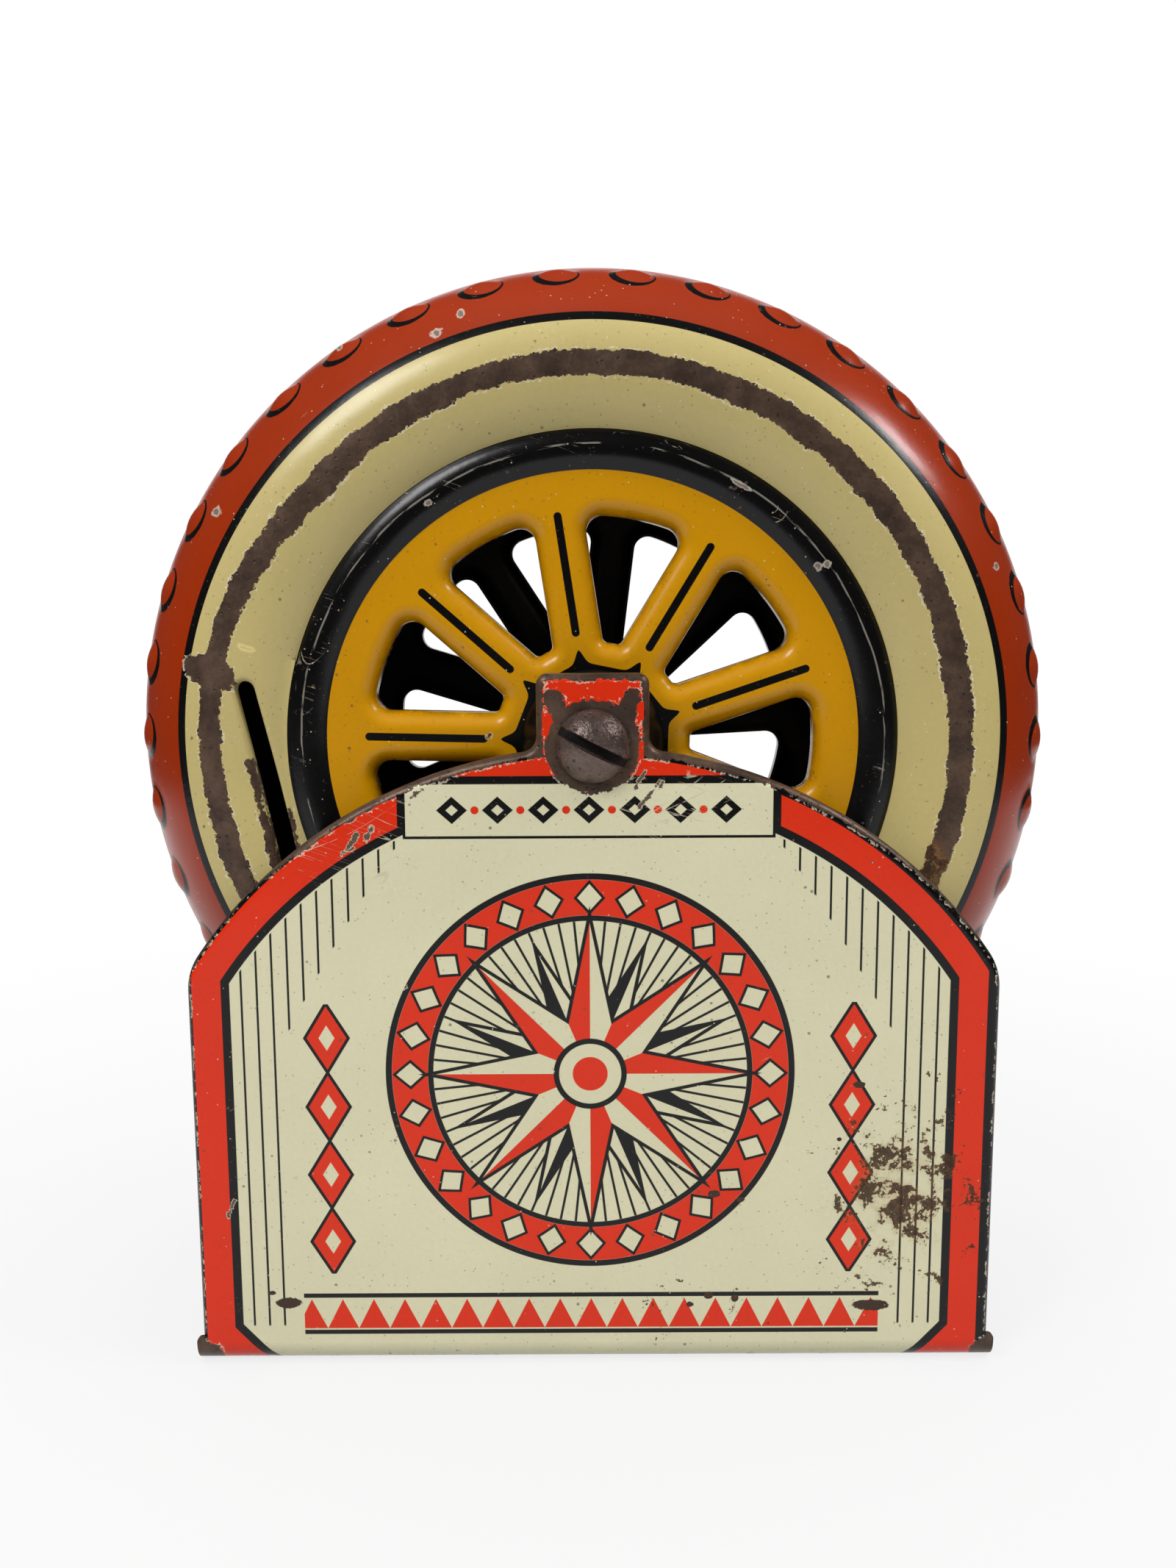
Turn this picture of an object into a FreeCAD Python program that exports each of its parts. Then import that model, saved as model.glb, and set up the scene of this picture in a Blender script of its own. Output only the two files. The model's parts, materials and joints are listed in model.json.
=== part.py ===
"""Tinplate coin bank: a hollow spoked wheel that turns on a screw between the uprights of an arched stand.

Millimetres. Origin at the middle of the stand's underside, +Z up, the front of the bank faces -Y.
"""
import FreeCAD
import Part
import Sketcher
import math
import os

from FreeCAD import Placement, Rotation, Vector

DRIVING_SIZES = {
    # stand
    "axle_height": "80.6",
    "stand_width": "101.6",
    "wheel_clearance": "1.7",
    "stand_sheet": "0.5",
    "arch_radius": "60",
    "arch_below_axle": "0.2",
    "rear_arch_drop": "5",
    "shoulder_radius": "8",
    "tab_width": "13.8",
    "tab_above_axle": "8.8",
    "tab_corner": "1.4",
    "tab_fillet": "2",
    "edge_bend": "1",
    "tightest_bend": "0.1",
    "flange_depth": "1.8",
    "flange_foot": "4",
    "floor_bend": "3",
    "ear_reach": "0.75",
    "ear_corner": "1.2",
    # axle
    "shank_diameter": "4.83",
    "shank_clearance": "0.1",
    "head_diameter": "9.1",
    "head_height": "3.3",
    "head_rim": "0.5",
    "driver_slot_width": "1.4",
    "driver_slot_depth": "1.7",
    "driver_slot_angle": "-27",
    "sleeve_diameter": "6.4",
    "running_fit": "0.05",
    "nut_across_flats": "9.5",
    "nut_thickness": "3.2",
    "thread_clearance": "0.05",
    "screw_end": "1.5",
    "screw_point": "0.6",
    # wheel shells
    "wheel_sheet": "0.4",
    "tread_radius": "60",
    "seam_band": "2",
    "seam_clearance": "0.05",
    "tyre_join_angle": "50",
    "crown_width": "14",
    "ridge_depth": "19.5",
    "sidewall_drop": "2.5",
    "sidewall_width": "7.6",
    "bead_width": "5",
    "bead_height": "0.9",
    "felloe_width": "5.4",
    "spoke_count": "9",
    "spoke_width": "6.4",
    "window_inner_radius": "12.4",
    "window_outer_corner": "2",
    "window_inner_corner": "0.8",
    "window_corner_share": "0.96",
    "window_roll": "3",
    "window_flat": "0.2",
    "window_lip_depth": "3.7",
    "front_clocking": "-1.4",
    "rear_clocking": "-3",
    "hub_play": "0.3",
    "hub_top_radius": "4.2",
    "hub_margin": "0.4",
    "hub_swell": "0.3",
    "knob_count": "38",
    "knob_diameter": "5.8",
    "knob_height": "0.45",
    "knob_depth": "11.5",
    "knob_phase": "0.96",
    # coin slot
    "coin_slot_margin": "2.4",
    "coin_slot_angle": "193.2",
    "coin_slot_length": "25",
    "coin_slot_width": "2.3",
    "coin_slot_shift": "4",
    "coin_slot_lip": "2",
}

doc = FreeCAD.newDocument("wheel_bank")
sheet = doc.addObject("Spreadsheet::Sheet", "Sizes")
for row, (alias, number) in enumerate(DRIVING_SIZES.items(), start=1):
    sheet.set(f"A{row}", alias)
    sheet.set(f"B{row}", number)
    sheet.setAlias(f"B{row}", alias)
doc.recompute()


def number_of(expression):
    """The present value of an expression on the sheet."""
    return float(sheet.evalExpression(expression))


# Sizes that follow from the driving ones, written as expressions.
HALF_WIDTH = "(Sizes.stand_width / 2)"
FRONT_FACE = "(Sizes.ridge_depth + Sizes.wheel_clearance + Sizes.flange_depth)"
TAB_BACK = f"({FRONT_FACE} - Sizes.stand_sheet)"
ARCH_CENTRE = "(Sizes.axle_height - Sizes.arch_below_axle - Sizes.arch_radius)"
SHANK_RADIUS = "(Sizes.shank_diameter / 2)"
SHANK_HOLE = f"({SHANK_RADIUS} + Sizes.shank_clearance)"
SLEEVE_RADIUS = "(Sizes.sleeve_diameter / 2)"
FACE_DEPTH = "(Sizes.ridge_depth - Sizes.sidewall_drop)"
RIDGE_RADIUS = "(Sizes.tread_radius - Sizes.crown_width)"
BEAD_OUTER = f"({RIDGE_RADIUS} - Sizes.sidewall_width)"
BEAD_INNER = f"({BEAD_OUTER} - Sizes.bead_width)"
WINDOW_OUTER = f"({BEAD_INNER} - Sizes.felloe_width)"
SLOT_RADIUS = f"({BEAD_OUTER} + Sizes.coin_slot_margin)"
HALF_PITCH = "(180 / Sizes.spoke_count)"
HALF_SPOKE = "(Sizes.spoke_width / 2)"
ROLL = f"min(Sizes.window_roll; {HALF_SPOKE} - Sizes.window_flat; Sizes.felloe_width - Sizes.window_flat)"
CORNER_SINE = f"sin(Sizes.window_corner_share * {HALF_PITCH})"
CORNER_ROOM = f"((Sizes.window_inner_radius * {CORNER_SINE} - {HALF_SPOKE}) / (1 - {CORNER_SINE}))"
INNER_CORNER = f"min(Sizes.window_inner_corner; {CORNER_ROOM})"
HUB_FOOT = f"(Sizes.window_inner_radius - {ROLL} - Sizes.hub_margin)"
HUB_TOP = f"({TAB_BACK} - Sizes.hub_play)"


def plane_of(body, role):
    return next(feature for feature in body.Origin.OriginFeatures if feature.Role == role)


def new_sketch(body, name, plane, height="0", turn="0"):
    """An empty sketch on one of the body's own planes, raised along the normal and turned about it."""
    sketch = body.newObject("Sketcher::SketchObject", name)
    sketch.AttachmentSupport = [(plane_of(body, plane), "")]
    sketch.MapMode = "FlatFace"
    sketch.AttachmentOffset = Placement(Vector(), Rotation(Vector(0, 0, 1), number_of(turn)))
    sketch.setExpression("AttachmentOffset.Base.z", height)
    sketch.setExpression("AttachmentOffset.Rotation.Angle", turn)
    return sketch


def bind(sketch, constraint, name, expression):
    index = sketch.addConstraint(constraint)
    sketch.renameConstraint(index, name)
    sketch.setExpression(f"Constraints.{name}", expression)


def place_point(sketch, geometry, end, name, x, y):
    """Ties one end of a piece of sketch geometry to its coordinates."""
    for kind, axis, label, expression in (("DistanceX", -2, "x", x), ("DistanceY", -1, "y", y)):
        value = number_of(expression)
        if abs(value) < 1e-9:
            sketch.addConstraint(Sketcher.Constraint("PointOnObject", geometry, end, axis))
        elif value > 0:
            tie = Sketcher.Constraint(kind, -1, 1, geometry, end, value)
            bind(sketch, tie, f"{name}_{label}", expression)
        else:
            tie = Sketcher.Constraint(kind, geometry, end, -1, 1, -value)
            bind(sketch, tie, f"{name}_{label}", f"-({expression})")


def arc_between(start, end, radius, turn):
    """A short arc from start to end; turn is 1 where it runs counter-clockwise and -1 where clockwise."""
    chord = end.sub(start)
    reach = math.sqrt(max(radius * radius - chord.Length * chord.Length / 4, 0))
    normal = Vector(-chord.y, chord.x, 0).normalize()
    centre = (start + end) * 0.5 + normal * (reach * turn)
    first, last = (start, end) if turn > 0 else (end, start)
    angle_first = math.atan2(first.y - centre.y, first.x - centre.x)
    angle_last = math.atan2(last.y - centre.y, last.x - centre.x)
    circle = Part.Circle(centre, Vector(0, 0, 1), radius)
    return Part.ArcOfCircle(circle, angle_first, angle_last)


def draw_outline(sketch, corners):
    """A closed outline. A corner is (name, x, y, radius, turn): radius and turn describe the edge that
    leaves it, and a radius of None is a straight edge."""
    points = [Vector(number_of(x), number_of(y), 0) for _, x, y, _, _ in corners]
    edges = []
    for index, (name, _, _, radius, turn) in enumerate(corners):
        start = points[index]
        end = points[(index + 1) % len(points)]
        if radius is None:
            geometry = sketch.addGeometry(Part.LineSegment(start, end))
        else:
            geometry = sketch.addGeometry(arc_between(start, end, number_of(radius), turn))
        starts_at = 1 if turn >= 0 else 2
        edges.append((geometry, starts_at, 3 - starts_at))
    for index, (name, x, y, radius, _) in enumerate(corners):
        geometry, starts_at, _ = edges[index]
        before, _, ends_at = edges[index - 1]
        sketch.addConstraint(Sketcher.Constraint("Coincident", before, ends_at, geometry, starts_at))
        place_point(sketch, geometry, starts_at, name, x, y)
        if radius is not None:
            bind(sketch, Sketcher.Constraint("Radius", geometry, number_of(radius)), f"{name}_radius", radius)


def draw_circle(sketch, name, radius):
    circle = Part.Circle(Vector(), Vector(0, 0, 1), number_of(radius))
    geometry = sketch.addGeometry(circle)
    sketch.addConstraint(Sketcher.Constraint("Coincident", geometry, 3, -1, 1))
    bind(sketch, Sketcher.Constraint("Radius", geometry, number_of(radius)), name, radius)


def new_body(label):
    body = doc.addObject("PartDesign::Body", label)
    body.Label = label
    return body


def pad(body, name, sketch, length, midplane=False):
    feature = body.newObject("PartDesign::Pad", name)
    feature.Profile = sketch
    feature.setExpression("Length", length)
    if midplane:
        feature.SideType = "Symmetric"
    doc.recompute()
    return feature


def revolve(body, name, sketch):
    feature = body.newObject("PartDesign::Revolution", name)
    feature.Profile = sketch
    feature.ReferenceAxis = (sketch, ["V_Axis"])
    feature.Angle = 360
    doc.recompute()
    return feature


def pocket_up(body, name, sketch):
    """Cuts from the sketch's plane up through the whole solid."""
    before = body.Shape.Volume
    feature = body.newObject("PartDesign::Pocket", name)
    feature.Profile = sketch
    feature.Type = "ThroughAll"
    feature.Reversed = True
    doc.recompute()
    if body.Shape.Volume >= before:
        raise RuntimeError(f"{name} cuts nothing")
    return feature


def pattern(body, name, feature, count):
    copies = body.newObject("PartDesign::PolarPattern", name)
    copies.Originals = [feature]
    copies.Axis = (plane_of(body, "Z_Axis"), [""])
    copies.Angle = 360
    copies.setExpression("Occurrences", count)
    body.Tip = copies
    doc.recompute()
    return copies


def fillet(body, name, base, radius, wanted):
    """Rounds the edges of the base feature that the function wanted picks."""
    names = [f"Edge{index}" for index, edge in enumerate(base.Shape.Edges, start=1) if wanted(edge)]
    feature = body.newObject("PartDesign::Fillet", name)
    feature.Base = (base, names)
    feature.setExpression("Radius", radius)
    doc.recompute()
    return feature


def boolean(kind, name, base, tool):
    feature = doc.addObject(f"Part::{kind}", name)
    feature.Label = name
    feature.Base = base
    feature.Tool = tool
    feature.Refine = False
    return feature


def stand_on_axle(feature, facing, clocking="0"):
    """Puts a piece drawn along its own +Z on the axle's line, facing front or rear, and clocks it."""
    turn = {"front": "0", "rear": "180"}[facing]
    upright_turn = f"rotation(vector(0; 0; 1); {turn}) * rotation(vector(1; 0; 0); 90)"
    clock_turn = f"rotation(vector(0; 0; 1); {clocking})"
    at_axle = "vector(0; 0; Sizes.axle_height)"
    feature.setExpression("Placement", f"placement({at_axle}; {upright_turn} * {clock_turn})")


# The stand.
def upright_outline(sketch, inset, drop):
    """The arched outline with its tab, drawn in by the inset, open to the floor at the flange's foot. The
    arch is lowered by the drop, the tab is not."""
    arch = f"(Sizes.arch_radius - {inset})"
    arch_centre = f"({ARCH_CENTRE} - {drop})"
    shoulder_x = f"({HALF_WIDTH} - Sizes.shoulder_radius)"
    shoulder_reach = "(Sizes.arch_radius - Sizes.shoulder_radius)"
    shoulder_z = f"sqrt({shoulder_reach}^2 - {shoulder_x}^2)"
    fillet_x = "(Sizes.tab_width / 2 + Sizes.tab_fillet)"
    fillet_reach = "(Sizes.arch_radius + Sizes.tab_fillet)"
    fillet_z = f"sqrt({fillet_reach}^2 - {fillet_x}^2)"
    tab_side = f"(Sizes.tab_width / 2 - {inset})"
    tab_top = f"(Sizes.axle_height + Sizes.tab_above_axle - {inset})"
    side = f"({HALF_WIDTH} - {inset})"
    right = [
        ("foot", side, "Sizes.flange_foot", None, 1),
        ("side_top", side, f"{arch_centre} + {shoulder_z}", f"Sizes.shoulder_radius - {inset}", 1),
        ("arch_start", f"{shoulder_x} * {arch} / {shoulder_reach}",
         f"{arch_centre} + {shoulder_z} * {arch} / {shoulder_reach}", arch, 1),
        ("arch_end", f"{fillet_x} * {arch} / {fillet_reach}",
         f"{arch_centre} + {fillet_z} * {arch} / {fillet_reach}", f"Sizes.tab_fillet + {inset}", -1),
        ("tab_foot", tab_side, f"{arch_centre} + {fillet_z}", None, 1),
        ("tab_corner", tab_side, "Sizes.axle_height + Sizes.tab_above_axle - Sizes.tab_corner",
         f"Sizes.tab_corner - {inset}", 1),
        ("tab_top", "Sizes.tab_width / 2 - Sizes.tab_corner", tab_top, None, 1),
    ]
    left = []
    for index in range(len(right) - 1, -1, -1):
        name, x, z, _, _ = right[index]
        _, _, _, radius, turn = right[index - 1] if index else (None, None, None, None, 1)
        left.append((f"left_{name}", f"-({x})", z, radius, turn))
    draw_outline(sketch, right + left)


def upright_form(label, inset, drop, back, depth, bend):
    """A solid of the upright's outline with its front edge rounded; a sheet is one form less a smaller one."""
    body = new_body(label)
    sketch = new_sketch(body, f"{label}_outline", "XZ_Plane", height=back)
    upright_outline(sketch, inset, drop)
    block = pad(body, f"{label}_block", sketch, depth)
    front = -number_of(f"{back} + {depth}")
    foot = number_of("Sizes.flange_foot")

    def on_front_edge(edge):
        box = edge.BoundBox
        return max(abs(box.YMin - front), abs(box.YMax - front)) < 1e-6 and box.ZMax > foot + 1e-6

    fillet(body, f"{label}_bend", block, bend, on_front_edge)
    return body


def upright(label, drop):
    """An upright at the front, with its edge turned back all round."""
    back = f"{FRONT_FACE} - Sizes.flange_depth"
    outer = upright_form(f"{label}_outer", "0", drop, back, "Sizes.flange_depth", "Sizes.edge_bend")
    inner_depth = "Sizes.flange_depth - Sizes.stand_sheet"
    inner_bend = "max(Sizes.edge_bend - Sizes.stand_sheet; Sizes.tightest_bend)"
    inner = upright_form(f"{label}_inner", "Sizes.stand_sheet", drop, back, inner_depth, inner_bend)
    return boolean("Cut", label, outer, inner)


def mirrored_to_rear(upright_at_front):
    rear = doc.addObject("Part::Mirroring", "rear_upright")
    rear.Source = upright_at_front
    rear.Normal = Vector(0, 1, 0)
    return rear


def channel():
    """The floor and both bends below the uprights, wider than them by an ear at each corner."""
    body = new_body("stand_channel")
    sketch = new_sketch(body, "channel_section", "YZ_Plane")
    bend = "max(Sizes.floor_bend; Sizes.stand_sheet + Sizes.tightest_bend)"
    inner_bend = f"({bend} - Sizes.stand_sheet)"
    draw_outline(sketch, [
        ("front_top", f"-{FRONT_FACE}", "Sizes.flange_foot", None, 1),
        ("front_bend", f"-{FRONT_FACE}", bend, bend, 1),
        ("floor_front", f"{bend} - {FRONT_FACE}", "0", None, 1),
        ("floor_rear", f"{FRONT_FACE} - {bend}", "0", bend, 1),
        ("rear_bend", FRONT_FACE, bend, None, 1),
        ("rear_top", FRONT_FACE, "Sizes.flange_foot", None, 1),
        ("rear_top_inside", TAB_BACK, "Sizes.flange_foot", None, 1),
        ("rear_bend_inside", TAB_BACK, bend, inner_bend, -1),
        ("floor_rear_inside", f"{FRONT_FACE} - {bend}", "Sizes.stand_sheet", None, 1),
        ("floor_front_inside", f"{bend} - {FRONT_FACE}", "Sizes.stand_sheet", inner_bend, -1),
        ("front_bend_inside", f"-{TAB_BACK}", bend, None, 1),
        ("front_top_inside", f"-{TAB_BACK}", "Sizes.flange_foot", None, 1),
    ])
    block = pad(body, "channel_block", sketch, "Sizes.stand_width + 2 * Sizes.ear_reach", midplane=True)
    top = number_of("Sizes.flange_foot")

    def at_ear(edge):
        box = edge.BoundBox
        return box.ZMin > top - 1e-6 and box.XLength < 1e-6

    fillet(body, "channel_ears", block, "min(Sizes.ear_corner; Sizes.ear_reach)", at_ear)
    return body


def stand():
    """Floor and both uprights, one bent sheet, with the axle's holes through the tabs."""
    front = upright("front_upright", "0")
    rear = mirrored_to_rear(upright("low_upright", "Sizes.rear_arch_drop"))
    half_bent = boolean("Fuse", "floor_and_front_upright", channel(), front)
    bent = boolean("Fuse", "floor_and_uprights", half_bent, rear)
    hole = doc.addObject("Part::Cylinder", "axle_hole")
    hole.setExpression("Radius", SHANK_HOLE)
    hole.setExpression("Height", f"4 * {FRONT_FACE}")
    hole.Placement = Placement(Vector(), Rotation(Vector(1, 0, 0), 90))
    hole.setExpression("Placement.Base.y", f"2 * {FRONT_FACE}")
    hole.setExpression("Placement.Base.z", "Sizes.axle_height")
    pressed = boolean("Cut", "stand", bent, hole)
    pressed.Refine = True
    return pressed


# The axle.
def axle_screw():
    body = new_body("axle_screw")
    sketch = new_sketch(body, "screw_profile", "XZ_Plane")
    head = "(Sizes.head_diameter / 2)"
    dome = "(Sizes.head_height - Sizes.head_rim)"
    end = f"-({FRONT_FACE} + Sizes.nut_thickness + Sizes.screw_end)"
    draw_outline(sketch, [
        ("tip", "0", end, None, 1),
        ("point", f"{SHANK_RADIUS} - Sizes.screw_point", end, None, 1),
        ("thread", SHANK_RADIUS, f"{end} + Sizes.screw_point", None, 1),
        ("seat", SHANK_RADIUS, FRONT_FACE, None, 1),
        ("head", head, FRONT_FACE, None, 1),
        ("rim", head, f"{FRONT_FACE} + Sizes.head_rim", f"({head}^2 + {dome}^2) / (2 * {dome})", 1),
        ("crown", "0", f"{FRONT_FACE} + Sizes.head_height", None, 1),
    ])
    revolve(body, "screw_turning", sketch)
    floor = f"{FRONT_FACE} + Sizes.head_height - Sizes.driver_slot_depth"
    slot = new_sketch(body, "driver_slot_outline", "XY_Plane", height=floor, turn="Sizes.driver_slot_angle")
    half_width = "Sizes.driver_slot_width / 2"
    draw_outline(slot, [
        ("near_left", "-Sizes.head_diameter", f"-{half_width}", None, 1),
        ("near_right", "Sizes.head_diameter", f"-{half_width}", None, 1),
        ("far_right", "Sizes.head_diameter", half_width, None, 1),
        ("far_left", "-Sizes.head_diameter", half_width, None, 1),
    ])
    pocket_up(body, "driver_slot", slot)
    stand_on_axle(body, "front")
    return body


def axle_sleeve():
    body = new_body("axle_sleeve")
    sketch = new_sketch(body, "sleeve_section", "XY_Plane")
    draw_circle(sketch, "outside", SLEEVE_RADIUS)
    draw_circle(sketch, "inside", SHANK_HOLE)
    pad(body, "sleeve_tube", sketch, f"2 * {TAB_BACK}", midplane=True)
    stand_on_axle(body, "front")
    return body


def axle_nut():
    body = new_body("axle_nut")
    sketch = new_sketch(body, "nut_section", "XY_Plane", height=FRONT_FACE)
    half = "(Sizes.nut_across_flats / 2)"
    draw_outline(sketch, [
        ("low_left", f"-{half}", f"-{half}", None, 1),
        ("low_right", half, f"-{half}", None, 1),
        ("high_right", half, half, None, 1),
        ("high_left", f"-{half}", half, None, 1),
    ])
    draw_circle(sketch, "thread", f"{SHANK_RADIUS} + Sizes.thread_clearance")
    pad(body, "nut_block", sketch, "Sizes.nut_thickness")
    stand_on_axle(body, "rear")
    return body


# The wheel shells, drawn along their own +Z with the seam at height 0.
def crown_values():
    """The radii of the tread's arc and the shoulder's, which run into each other smoothly between the seam
    band and the ridge, and where the tread's arc has its centre."""
    along = "(Sizes.ridge_depth - Sizes.seam_band)"
    cosine = "cos(Sizes.tyre_join_angle)"
    sine = "sin(Sizes.tyre_join_angle)"
    spread = f"({cosine} + {sine} - 1)"
    tread = f"(({along} * {cosine} - Sizes.crown_width * (1 - {sine})) / {spread})"
    shoulder = f"((Sizes.crown_width * {sine} - {along} * (1 - {cosine})) / {spread})"
    tread_centre = f"(Sizes.tread_radius - {tread})"
    return shoulder, tread, tread_centre


def shell_profile(sketch, inset, base):
    """Half the wheel's section: tread, sidewall, rim bead, spoke face and domed hub, drawn in by the inset."""
    shoulder, tread, tread_centre = crown_values()
    meet_x = f"{tread_centre} + ({tread} - {inset}) * cos(Sizes.tyre_join_angle)"
    meet_z = f"Sizes.seam_band + ({tread} - {inset}) * sin(Sizes.tyre_join_angle)"
    sidewall_arc = "(Sizes.sidewall_width^2 + Sizes.sidewall_drop^2) / (2 * Sizes.sidewall_drop)"
    bead = "(Sizes.bead_width / 2)"
    bead_arc = f"({bead}^2 + Sizes.bead_height^2) / (2 * Sizes.bead_height)"
    hub_chord = f"(sqrt(({HUB_FOOT} - Sizes.hub_top_radius)^2 + ({HUB_TOP} - {FACE_DEPTH})^2) / 2)"
    hub_arc = f"({hub_chord}^2 + Sizes.hub_swell^2) / (2 * Sizes.hub_swell)"
    band = f"Sizes.tread_radius - {inset}"
    face = f"{FACE_DEPTH} - {inset}"
    draw_outline(sketch, [
        ("base_middle", "0", base, None, 1),
        ("base", band, base, None, 1),
        ("band", band, "Sizes.seam_band", f"{tread} - {inset}", 1),
        ("shoulder", meet_x, meet_z, f"{shoulder} - {inset}", 1),
        ("ridge", RIDGE_RADIUS, f"Sizes.ridge_depth - {inset}", sidewall_arc, 1),
        ("bead_outside", BEAD_OUTER, face, bead_arc, 1),
        ("bead_inside", BEAD_INNER, face, None, 1),
        ("hub_foot", HUB_FOOT, face, hub_arc, 1),
        ("hub_edge", "Sizes.hub_top_radius", f"{HUB_TOP} - {inset}", None, 1),
        ("hub_middle", "0", f"{HUB_TOP} - {inset}", None, 1),
    ])


def window_outline(sketch, growth):
    """One window between two spokes, grown outwards all round, with its middle on the sketch's X axis."""
    half = f"({HALF_SPOKE} - {growth})"
    rim = f"({WINDOW_OUTER} + {growth})"
    hub = f"(Sizes.window_inner_radius - {growth})"
    rim_corner = f"(Sizes.window_outer_corner + {growth})"
    hub_corner = f"({INNER_CORNER} + {growth})"
    rim_reach = f"({rim} - {rim_corner})"
    hub_reach = f"({hub} + {hub_corner})"
    rim_run = f"sqrt({rim_reach}^2 - ({half} + {rim_corner})^2)"
    hub_run = f"sqrt({hub_reach}^2 - ({half} + {hub_corner})^2)"

    def at(along, aside):
        """A place beside the upper spoke: along its centre line and aside from it, into the window."""
        x = f"({along}) * cos({HALF_PITCH}) + ({aside}) * sin({HALF_PITCH})"
        y = f"({along}) * sin({HALF_PITCH}) - ({aside}) * cos({HALF_PITCH})"
        return x, y

    rim_arc = at(f"{rim_run} * {rim} / {rim_reach}", f"({half} + {rim_corner}) * {rim} / {rim_reach}")
    rim_side = at(rim_run, half)
    hub_side = at(hub_run, half)
    hub_arc = at(f"{hub_run} * {hub} / {hub_reach}", f"({half} + {hub_corner}) * {hub} / {hub_reach}")
    draw_outline(sketch, [
        ("low_rim_arc", rim_arc[0], f"-({rim_arc[1]})", rim, 1),
        ("rim_arc", *rim_arc, rim_corner, 1),
        ("rim_side", *rim_side, None, 1),
        ("hub_side", *hub_side, hub_corner, 1),
        ("hub_arc", *hub_arc, hub, -1),
        ("low_hub_arc", hub_arc[0], f"-({hub_arc[1]})", hub_corner, 1),
        ("low_hub_side", hub_side[0], f"-({hub_side[1]})", None, 1),
        ("low_rim_side", rim_side[0], f"-({rim_side[1]})", rim_corner, 1),
    ])


def cut_windows(body, label, growth, height, roll):
    """The ring of windows, cut upwards from a height, with their upper edges rolled over."""
    sketch = new_sketch(body, f"{label}_window", "XY_Plane", height=height)
    window_outline(sketch, growth)
    window = pocket_up(body, f"{label}_window_cut", sketch)
    windows = pattern(body, f"{label}_windows", window, "Sizes.spoke_count")
    face = number_of(f"{FACE_DEPTH} - {growth}")
    nearest = number_of(f"Sizes.window_inner_radius - {growth}") - 0.01
    farthest = number_of(f"{WINDOW_OUTER} + {growth}") + 0.01

    def on_window_rim(edge):
        box = edge.BoundBox
        reach = max(math.hypot(vertex.X, vertex.Y) for vertex in edge.Vertexes)
        return box.ZLength < 1e-6 and abs(box.ZMin - face) < 1e-6 and nearest < reach < farthest

    fillet(body, f"{label}_rolled_edges", windows, roll, on_window_rim)


def add_knobs(body):
    """The ring of low round knobs on the tread, each the cap of a sphere."""
    _, tread, tread_centre = crown_values()
    cap = "(Sizes.knob_diameter / 2)"
    ball = f"(({cap}^2 + Sizes.knob_height^2) / (2 * Sizes.knob_height))"
    rise = "(Sizes.knob_depth - Sizes.seam_band)"
    share = f"(({tread} + Sizes.knob_height - {ball}) / {tread})"
    out = f"({tread_centre} + sqrt({tread}^2 - {rise}^2) * {share})"
    knob = body.newObject("PartDesign::AdditiveSphere", "knob")
    knob.setExpression("Radius", ball)
    knob.setExpression("Placement.Base.x", f"{out} * cos(Sizes.knob_phase)")
    knob.setExpression("Placement.Base.y", f"{out} * sin(Sizes.knob_phase)")
    knob.setExpression("Placement.Base.z", f"Sizes.seam_band + {rise} * {share}")
    doc.recompute()
    pattern(body, "knobs", knob, "Sizes.knob_count")


def turned_solid(label, inset, base):
    """A plain turning of the wheel's section."""
    body = new_body(label)
    sketch = new_sketch(body, f"{label}_profile", "XZ_Plane")
    shell_profile(sketch, inset, base)
    revolve(body, f"{label}_turning", sketch)
    return body


def shell_outside():
    """The solid that the outside of a shell bounds."""
    body = turned_solid("shell_outside", "0", "0")
    add_knobs(body)
    bore = new_sketch(body, "hub_bore", "XY_Plane")
    draw_circle(bore, "bore", f"{SLEEVE_RADIUS} + Sizes.running_fit")
    pocket_up(body, "hub_bore_cut", bore)
    cut_windows(body, "outside", "0", "0", ROLL)
    return body


def shell_inside():
    """The hollow of a shell: its sheet's thickness inside the outside, with a lip left round each window."""
    body = turned_solid("shell_inside", "Sizes.wheel_sheet", "-Sizes.ridge_depth")
    lip = f"{FACE_DEPTH} - Sizes.window_lip_depth"
    inner_roll = f"max({ROLL} - Sizes.wheel_sheet; Sizes.tightest_bend)"
    cut_windows(body, "inside", "Sizes.wheel_sheet", lip, inner_roll)
    return body


def coin_slot(label, growth, height):
    """A round-ended bar of the coin slot's outline, grown outwards all round, from a height to the front."""
    body = new_body(label)
    sketch = new_sketch(body, f"{label}_outline", "XY_Plane", height=height, turn="Sizes.coin_slot_angle")
    half_width = f"(Sizes.coin_slot_width / 2 + {growth})"
    run = "((Sizes.coin_slot_length - Sizes.coin_slot_width) / 2)"
    upper = f"({run} - Sizes.coin_slot_shift)"
    lower = f"-({run} + Sizes.coin_slot_shift)"
    inner = f"{SLOT_RADIUS} - {half_width}"
    outer = f"{SLOT_RADIUS} + {half_width}"
    draw_outline(sketch, [
        ("inner_low", inner, lower, half_width, 1),
        ("tip_low", SLOT_RADIUS, f"{lower} - {half_width}", half_width, 1),
        ("outer_low", outer, lower, None, 1),
        ("outer_high", outer, upper, half_width, 1),
        ("tip_high", SLOT_RADIUS, f"{upper} + {half_width}", half_width, 1),
        ("inner_high", inner, upper, None, 1),
    ])
    pad(body, f"{label}_bar", sketch, f"2 * {FRONT_FACE}")
    return body


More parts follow.
